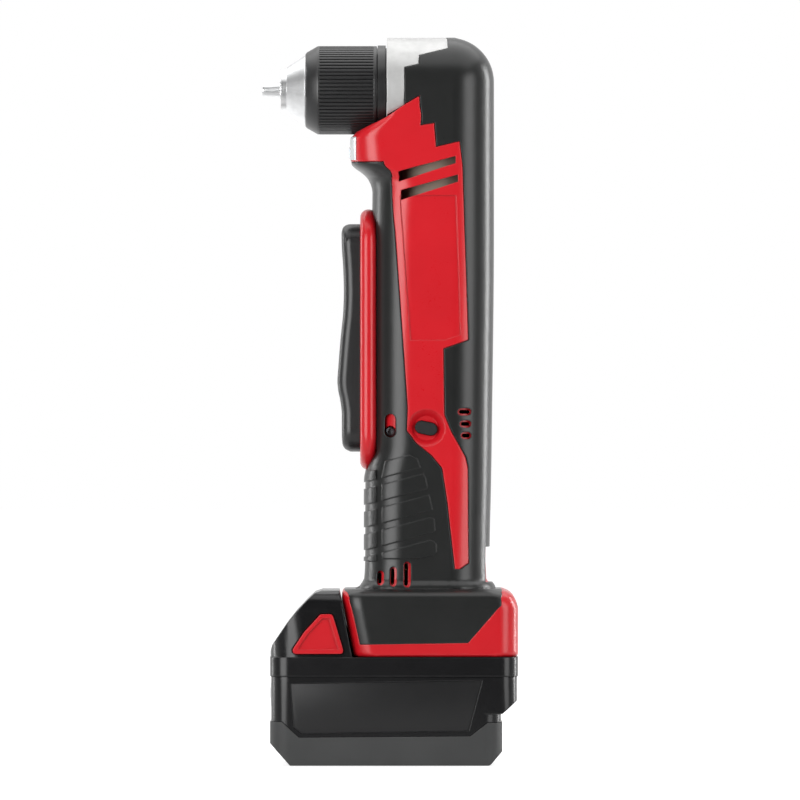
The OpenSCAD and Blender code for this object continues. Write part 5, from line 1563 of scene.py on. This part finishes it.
    def _bezel(self, bench: Bench, palette: Palette) -> None:
        """Red rim around the paddle, with its bead drawn onto a true round.

        Args:
            bench: Bench that makes the piece.
            palette: Materials.
        """
        bm = bench.lift("paddle_bezel")
        layer = bm.faces.layers.int.new("bead")
        for f in bm.faces:
            points = [v.co for v in f.verts] + [f.calc_center_median()]
            f[layer] = all(abs((p - self._core(p)).length - self.bead_r) < self.bead_slack for p in points)
        refine(bm, layer, self.bead_step)
        for v in {v for f in bm.faces if f[layer] for v in f.verts}:
            core = self._core(v.co)
            v.co = core + (v.co - core).normalized() * self.bead_r
        red = palette.slot("red_plastic")
        bench.settle(bm, "paddle_rim", "paddle_bezel", red, self.trim_shade)

    def _lens(self, bench: Bench, palette: Palette) -> None:
        """Lamp lens with a crowned front.

        Args:
            bench: Bench that makes the piece.
            palette: Materials.
        """
        bm = bench.lift("led_lens")
        layer = bm.faces.layers.int.new("outside")
        for f in bm.faces:
            f[layer] = 1
        refine(bm, layer, self.lens_edge)
        pts = np.array([v.co for v in bm.verts])
        low, high = pts.min(0), pts.max(0)
        off = np.abs((pts - (low + high) / 2) / ((high - low) / 2))
        across, up = self.crown_powers
        dome = np.clip(1 - off[:, 1] ** across, 0, 1) * np.clip(1 - off[:, 2] ** up, 0, 1)
        front = np.clip(1 - (pts[:, 0] - low[0]) / self.crown_depth, 0, 1)
        for v, shift in zip(bm.verts, self.crown * dome * front):
            v.co.x -= shift
        clear = palette.slot("clear_lens")
        bench.settle(bm, "led_lens_crowned", "led_lens", clear, self.lens_shade)


@dataclass
class Leads:
    """Insulated wires from the switch to the motor, seen through the slots of the spine.

    Sizes are in millimetres.
    """

    count: int = 4
    radius: float = 1.05
    pitch: float = 2.0
    start: tuple = (8.6, 0.3, 169.2)
    riser: float = 11.5
    bend: float = 2.4
    top: float = 187.6
    sway: float = 0.5
    sides: int = 16
    stations: int = 9
    shade: float = 50

    def _path(self, k: int) -> list[Vector]:
        """Middle line of one wire: out of the switch, round a common centre, and up to the motor.

        Args:
            k: Number of the wire, from the inside of the bend.
        Returns:
            Points along the line.
        """
        x0, y, z0 = self.start
        centre = Vector((self.riser - self.bend, y, z0 + self.bend))
        r = self.bend + self.pitch * k
        points = [Vector((x0, y, centre.z - r))]
        for a in np.radians(np.linspace(-90, 0, self.stations)):
            points.append(centre + Vector((r * math.cos(a), 0, r * math.sin(a))))
        for share in np.linspace(0, 1, self.stations)[1:]:
            sway = self.sway * (1 - k) * math.sin(math.pi * share)
            points.append(Vector((centre.x + r, y + sway, centre.z + share * (self.top - centre.z))))
        return points

    def build(self, bench: Bench, palette: Palette) -> None:
        """Sweeps a round section along each path.

        Args:
            bench: Bench that makes the piece.
            palette: Materials.
        """
        bm = bmesh.new()
        across = Vector((0, 1, 0))
        turns = np.linspace(0, FULL_TURN, self.sides, endpoint=False)
        for path in map(self._path, range(self.count)):
            rings = []
            for i, p in enumerate(path):
                way = (path[min(i + 1, len(path) - 1)] - path[max(i - 1, 0)]).normalized()
                side = (across - way * across.dot(way)).normalized()
                up = way.cross(side)
                rings.append([bm.verts.new(p + self.radius * (math.cos(a) * side + math.sin(a) * up))
                              for a in turns])
            bridge(bm, rings, False)
        bmesh.ops.recalc_face_normals(bm, faces=bm.faces)
        bench.settle(bm, "motor_leads", "switch_body", palette.slot("black_plastic"),
                     self.shade, stands=False)


@dataclass
class Head:
    """Gear case and keyless chuck. Sizes are in millimetres.

    The nose, swell and heel of the sleeve are offsets along X and in radius: from its front, from its
    shoulder and from its back.
    """

    axis_z: float = 319.5
    skins: tuple = (("gear_case", "cast_case", 35), ("chuck_body", "steel", 30), ("jaw_1", "steel", 30),
                    ("jaw_2", "steel", 30), ("jaw_3", "steel", 30))
    ribs: int = 72
    steps: int = 144
    front: float = -62.5
    back: float = -28.5
    shoulder: float = -56.5
    crest_r: float = 21.0
    valley_r: float = 20.25
    front_r: float = 17.9
    mouth_r: float = 17.0
    nose: tuple = ((0.25, -0.4), (0.8, 0.15))
    swell: tuple = ((-0.5, -0.25), (0, -0.04), (0.45, 0), (0.7, -0.15))
    heel: tuple = ((-1.7, -0.15), (-1.4, 0), (-0.5, 0), (-0.12, -0.15), (0, -0.6))
    valley: tuple = (0.8, -1.8)
    bore: tuple = ((-28.5, 17.7), (-52.6, 17.7), (-52.6, 17.5), (-59.7, 17.5), (-59.7, 16.9), (-62.5, 16.9))
    rib_front: tuple = (0.3, 1.2)
    rib_back: tuple = (-2.0, -1.3)
    rib_ease: float = 0.06
    rib_section: tuple = ((-0.78, -1.25), (-0.7, -0.5), (-0.64, -0.18), (-0.52, -0.03), (-0.25, 0.0),
                          (0.25, 0.0), (0.52, -0.03), (0.64, -0.18), (0.7, -0.5), (0.78, -1.25))
    shade: float = 38
    collars: tuple = ((-28.4, -27.0), (-25.6, -23.95))
    collar_r: float = 20.0
    collar_bore: float = 18.6
    collar_steps: int = 96
    ring_edge: float = 0.6
    ring_shade: float = 40

    def build(self, bench: Bench, palette: Palette) -> None:
        """Builds the case, the chuck body, the jaws, the rear ring and the ribbed sleeve.

        Args:
            bench: Bench that makes the pieces.
            palette: Materials.
        """
        for node, slot, shade in self.skins:
            bench.copy(node, palette, slot, 0, shade)
        self._ring(bench, palette)
        self._sleeve(bench, palette)

    def _ring(self, bench: Bench, palette: Palette) -> None:
        """Rear ring, with narrow collars that shade the gaps on both sides of it.

        Args:
            bench: Bench that makes the piece.
            palette: Materials.
        """
        bm = bench.lift("chuck_rear_ring")
        break_edges(bm, self.ring_edge)
        for x0, x1 in self.collars:
            loop = [(x0, self.collar_r), (x1, self.collar_r), (x1, self.collar_bore), (x0, self.collar_bore)]
            mesh = to_mesh(lathe(loop, self.axis_z, self.collar_steps), "collar")
            bm.from_mesh(mesh)
            bpy.data.meshes.remove(mesh)
        satin = palette.get(palette.finishes.satin)
        bench.settle(bm, "chuck_ring_collared", "chuck_rear_ring", satin, self.ring_shade)

    def _rib(self) -> bpy.types.Object:
        """One rounded rib at the top of the sleeve, with the chuck axis through the origin along X.

        Returns:
            The object.
        """
        low = self.crest_r - self.rib_ease
        path = [(self.shoulder + self.rib_front[0], low), (self.shoulder + self.rib_front[1], self.crest_r),
                (self.back + self.rib_back[0], self.crest_r), (self.back + self.rib_back[1], low)]
        bm = bmesh.new()
        bridge(bm, [[bm.verts.new((x, y, r + z)) for y, z in self.rib_section] for x, r in path], False)
        bmesh.ops.recalc_face_normals(bm, faces=bm.faces)
        return to_object(to_mesh(bm, "rib_source"), "rib_source")

    def _sleeve(self, bench: Bench, palette: Palette) -> None:
        """Turned sleeve with its ribs repeated around the axis.

        Args:
            bench: Bench that makes the piece.
            palette: Materials.
        """
        black = palette.get(palette.finishes.satin)
        profile = [(self.front, self.mouth_r)]
        profile += [(self.front + x, self.front_r + r) for x, r in self.nose]
        profile += [(self.shoulder + x, self.crest_r + r) for x, r in self.swell]
        profile += [(self.shoulder + self.valley[0], self.valley_r),
                    (self.back + self.valley[1], self.valley_r)]
        profile += [(self.back + x, self.crest_r + r) for x, r in self.heel]
        base = to_mesh(lathe([*profile, *self.bore], self.axis_z, self.steps), "sleeve_base")
        source = self._rib()
        kit = Instancer("sleeve_ribs", {"Rib": "NodeSocketObject", "Count": "NodeSocketInt",
                                        "Height": "NodeSocketFloat", "Finish": "NodeSocketMaterial"})
        given = kit.given
        place = kit.node("ShaderNodeCombineXYZ", {}, {"Z": given["Height"]})
        points = kit.node("GeometryNodePoints", {}, {"Count": given["Count"], "Position": place.outputs[0]})
        index = Wire(kit, kit.node("GeometryNodeInputIndex").outputs[0])
        angle = index * (FULL_TURN / Wire(kit, given["Count"]))
        turn = kit.node("ShaderNodeCombineXYZ", {}, {"X": angle})
        ribs = kit.repeat(points.outputs[0], given["Rib"], turn.outputs[0])
        whole = kit.node("GeometryNodeJoinGeometry", {}, {"Geometry": given["Geometry"]})
        kit.feed(whole.inputs["Geometry"], ribs)
        kit.close(whole.outputs[0])
        values = {"Rib": source, "Count": self.ribs, "Height": self.axis_z, "Finish": black}
        bm = kit.run(base, source, values)
        bench.settle(bm, "chuck_sleeve_ribbed", "chuck_sleeve", black, self.shade)


@dataclass
class Battery:
    """Battery pack: top with latch and rails, case, foot, buttons, gauge and screws.

    Sizes are in millimetres. The shells and the fittings have a slot, a bevel and a shading angle each.
    """

    shells: tuple = (("battery_top", "black_plastic", 0, 30), ("battery_lower", "black_plastic", 0, 30))
    fittings: tuple = (("battery_foot", "grey_rubber", 0, 30), ("release_left", "red_plastic", 0, 35),
                       ("release_right", "red_plastic", 0, 35), ("gauge_panel", "dark_plastic", 0.3, 40),
                       ("gauge_button", "grey_plastic", 0.3, 40))
    screw_x: tuple = (-74.7, 33.9)
    screw_y: float = 27.0
    screw_z: tuple = (14.2, 33.2)
    screw_turn: tuple = (180, 0, 0)
    screw_shank: float = 13.6
    recess_y: float = 37.1
    recess_slack: float = 0.05
    recess_facing: float = 0.999
    plate_flat: float = 1
    plate_margin: float = 0.7
    plate_rise: float = 0.45
    plate_edge: float = 0.25
    plate_shade: float = 40
    rim_area: float = 200

    def _plates(self, bench: Bench, palette: Palette) -> None:
        """Bare film plates that lie in the recesses of the case's sides.

        Args:
            bench: Bench that makes the piece.
            palette: Materials.
        """
        bm = bench.lift("battery_lower")
        floor = {f for f in bm.faces if abs(f.normal.y) > self.recess_facing
                 and abs(abs(f.calc_center_median().y) - self.recess_y) < self.recess_slack}
        bmesh.ops.delete(bm, geom=[f for f in bm.faces if f not in floor], context="FACES")
        flat = math.radians(self.plate_flat)
        bmesh.ops.dissolve_limit(bm, angle_limit=flat, verts=bm.verts, edges=bm.edges)
        bmesh.ops.inset_region(bm, faces=bm.faces[:], thickness=self.plate_margin, use_even_offset=True)
        rim = [f for f in bm.faces if len(f.verts) == 4 and f.calc_area() < self.rim_area]
        bmesh.ops.delete(bm, geom=rim, context="FACES")
        grown = bmesh.ops.extrude_face_region(bm, geom=bm.faces[:])["geom"]
        for v in (g for g in grown if isinstance(g, bmesh.types.BMVert)):
            v.co.y += math.copysign(self.plate_rise, v.co.y)
        bmesh.ops.recalc_face_normals(bm, faces=bm.faces)
        break_edges(bm, self.plate_edge)
        film = palette.get(palette.finishes.film)
        bench.settle(bm, "label_plates", "battery_lower", film, self.plate_shade,
                     stands=False)

    def build(self, bench: Bench, palette: Palette) -> None:
        """Builds the pieces of the pack that show.

        Args:
            bench: Bench that makes the pieces.
            palette: Materials.
        """
        for node, slot, bevel, shade in self.shells:
            bench.copy(node, palette, slot, bevel, shade)
        self._plates(bench, palette)
        for node, slot, bevel, shade in self.fittings:
            bench.copy(node, palette, slot, bevel, shade)
        points = [((x, side * self.screw_y, z), self.screw_turn)
                  for x, z in zip(self.screw_x, self.screw_z) for side in (-1, 1)]
        Screws(self.screw_shank).build(bench, palette, points, "battery_screws")


@dataclass
class Inside:
    """Works that stay as their solids, and only get a finish."""

    drawn: tuple = ("rotor_shaft", "rotor_core", "motor_bearing_front", "motor_bearing_rear",
                    "planet_carrier", "planet_1", "planet_2", "planet_3", "sun_gear", "bevel_pinion",
                    "pinion_bearing")

    def dress(self, frame: dict, bench: Bench, palette: Palette) -> None:
        """Gives each solid that still shows its finish.

        Args:
            bench: Bench that knows the solids that have a piece in their place.
            palette: Materials.
        """
        slots = {p["node"]: p["material_slot"] for p in frame["record"]["subparts"]}
        special = dict.fromkeys(self.drawn, palette.finishes.drawn)
        special |= {"motor_can": palette.finishes.zinc, "ring_gear": palette.finishes.sinter}
        for node, obj in frame["nodes"].items():
            if node in bench.done:
                continue
            material = palette.get(special[node]) if node in special else palette.slot(slots[node])
            obj.data.materials.clear()
            obj.data.materials.append(material)
            LOG.info("%s: as its solid, %s", node, material.name)


@dataclass
class Studio:
    """White floor and background, soft lamps and the camera. Sizes are in metres.

    Each lamp has a name, a place, a width, a height and a power in watts.
    """

    eye: tuple = (-0.0176, -5.0, 0.1724)
    level: tuple = (math.pi / 2, 0, 0)
    sensor: float = 36
    focal: float = 473.7
    clip_end: float = 50
    floor: float = 12.0
    floor_cells: int = 8
    floor_drop: float = 0.0004
    apron: float = 0.5
    wall: tuple = (-0.4, 0.7)
    room: float = 0.05
    ambient: float = 0.16
    pale: float = 0.5
    glow: float = 0.76
    near: float = 0.3
    far: float = 0.9
    aim: tuple = (0, 0, 0.17)
    lamps: tuple = (
        ("front_left", (-0.95, -1.28, 0.40), 1.0, 1.4, 26.0),
        ("front_right", (1.19, -1.07, 0.40), 0.8, 1.4, 15.0),
        ("rim_left", (-1.10, 0.49, 0.25), 0.14, 1.3, 6.0),
        ("rim_right", (1.10, 0.49, 0.25), 0.14, 1.3, 13.0),
        ("top", (0.0, 0.1, 1.5), 2.4, 2.0, 26.0))

    def build(self) -> None:
        """Builds the world, the floor, the lamps and the camera."""
        scene = bpy.context.scene
        scene.view_settings.view_transform = "Standard"
        self._world(scene)
        self._floor()
        for name, place, wide, tall, power in self.lamps:
            lamp = bpy.data.lights.new(name, "AREA")
            lamp.shape = "RECTANGLE"
            lamp.size = wide
            lamp.size_y = tall
            lamp.energy = power
            obj = to_object(lamp, name)
            obj.location = place
            obj.rotation_euler = (Vector(self.aim) - Vector(place)).to_track_quat("-Z", "Y").to_euler()
        data = bpy.data.cameras.new("camera")
        data.sensor_width = self.sensor
        data.lens = self.focal
        data.clip_end = self.clip_end
        camera = to_object(data, "camera")
        camera.location = self.eye
        camera.rotation_euler = self.level
        scene.camera = camera

    def _world(self, scene: bpy.types.Scene) -> None:
        """White where it is seen; gloss shows a white wall behind the drill and a dim room before it.

        Args:
            scene: Scene that gets the world.
        """
        world = bpy.data.worlds.new("studio")
        world.use_nodes = True
        kit = NodeKit(world.node_tree)
        way = kit.node("ShaderNodeTexCoord").outputs["Generated"]
        parts = kit.node("ShaderNodeSeparateXYZ", {}, {0: way})
        wall = Wire(kit, parts.outputs["Y"]).above(*self.wall, self.room, 1.0)
        seen = kit.rays("Is Camera Ray")
        mirrored = kit.rays("Is Glossy Ray", "Is Transmission Ray")
        level = seen + mirrored * wall + (1 - seen.most(mirrored)) * self.ambient
        back = kit.node("ShaderNodeBackground", {}, {"Color": WHITE, "Strength": level})
        kit.node("ShaderNodeOutputWorld", {}, {"Surface": back.outputs[0]})
        scene.world = world

    def _floor(self) -> None:
        """Pale floor that keeps the shadow."""
        bm = bmesh.new()
        cells = self.floor_cells
        bmesh.ops.create_grid(bm, x_segments=cells, y_segments=cells, size=self.floor / 2)
        bmesh.ops.translate(bm, vec=(0, self.floor / 2 - self.apron, 0), verts=bm.verts)
        material = bpy.data.materials.new("floor")
        material.use_nodes = True
        kit = NodeKit(material.node_tree)
        pale = kit.node("ShaderNodeBsdfDiffuse", {}, {"Color": (self.pale,) * 3})
        place = kit.node("ShaderNodeTexCoord").outputs["Object"]
        reach = kit.node("ShaderNodeVectorMath", {"operation": "LENGTH"}, {0: place})
        parts = kit.node("ShaderNodeSeparateXYZ", {}, {0: place})
        away = Wire(kit, reach.outputs["Value"]).above(self.near, self.far, self.glow, 1.0)
        behind = Wire(kit, parts.outputs["Y"]).above(-self.near, self.near, self.room, 1.0)
        plain = kit.rays("Is Camera Ray", "Is Transmission Ray")
        level = plain.most(kit.rays("Is Glossy Ray") * behind) * away
        glow = kit.node("ShaderNodeEmission", {}, {"Color": WHITE, "Strength": level})
        both = kit.node("ShaderNodeAddShader", {}, {0: pale.outputs[0], 1: glow.outputs[0]})
        kit.node("ShaderNodeOutputMaterial", {}, {"Surface": both.outputs[0]})
        mesh = to_mesh(bm, "floor")
        mesh.materials.append(material)
        obj = to_object(mesh, "floor")
        obj.location = (0, 0, -self.floor_drop)


def main() -> None:
    """Loads the frame, dresses it and sets the studio."""
    logging.basicConfig(level=logging.INFO, format="%(name)s: %(message)s")
    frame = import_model()
    bench = Bench(frame)
    palette = Palette()
    Studio().build()
    Handle().build(bench, palette)
    Trigger().build(bench, palette)
    Leads().build(bench, palette)
    Head().build(bench, palette)
    Battery().build(bench, palette)
    Inside().dress(frame, bench, palette)


if __name__ == "__main__":
    main()
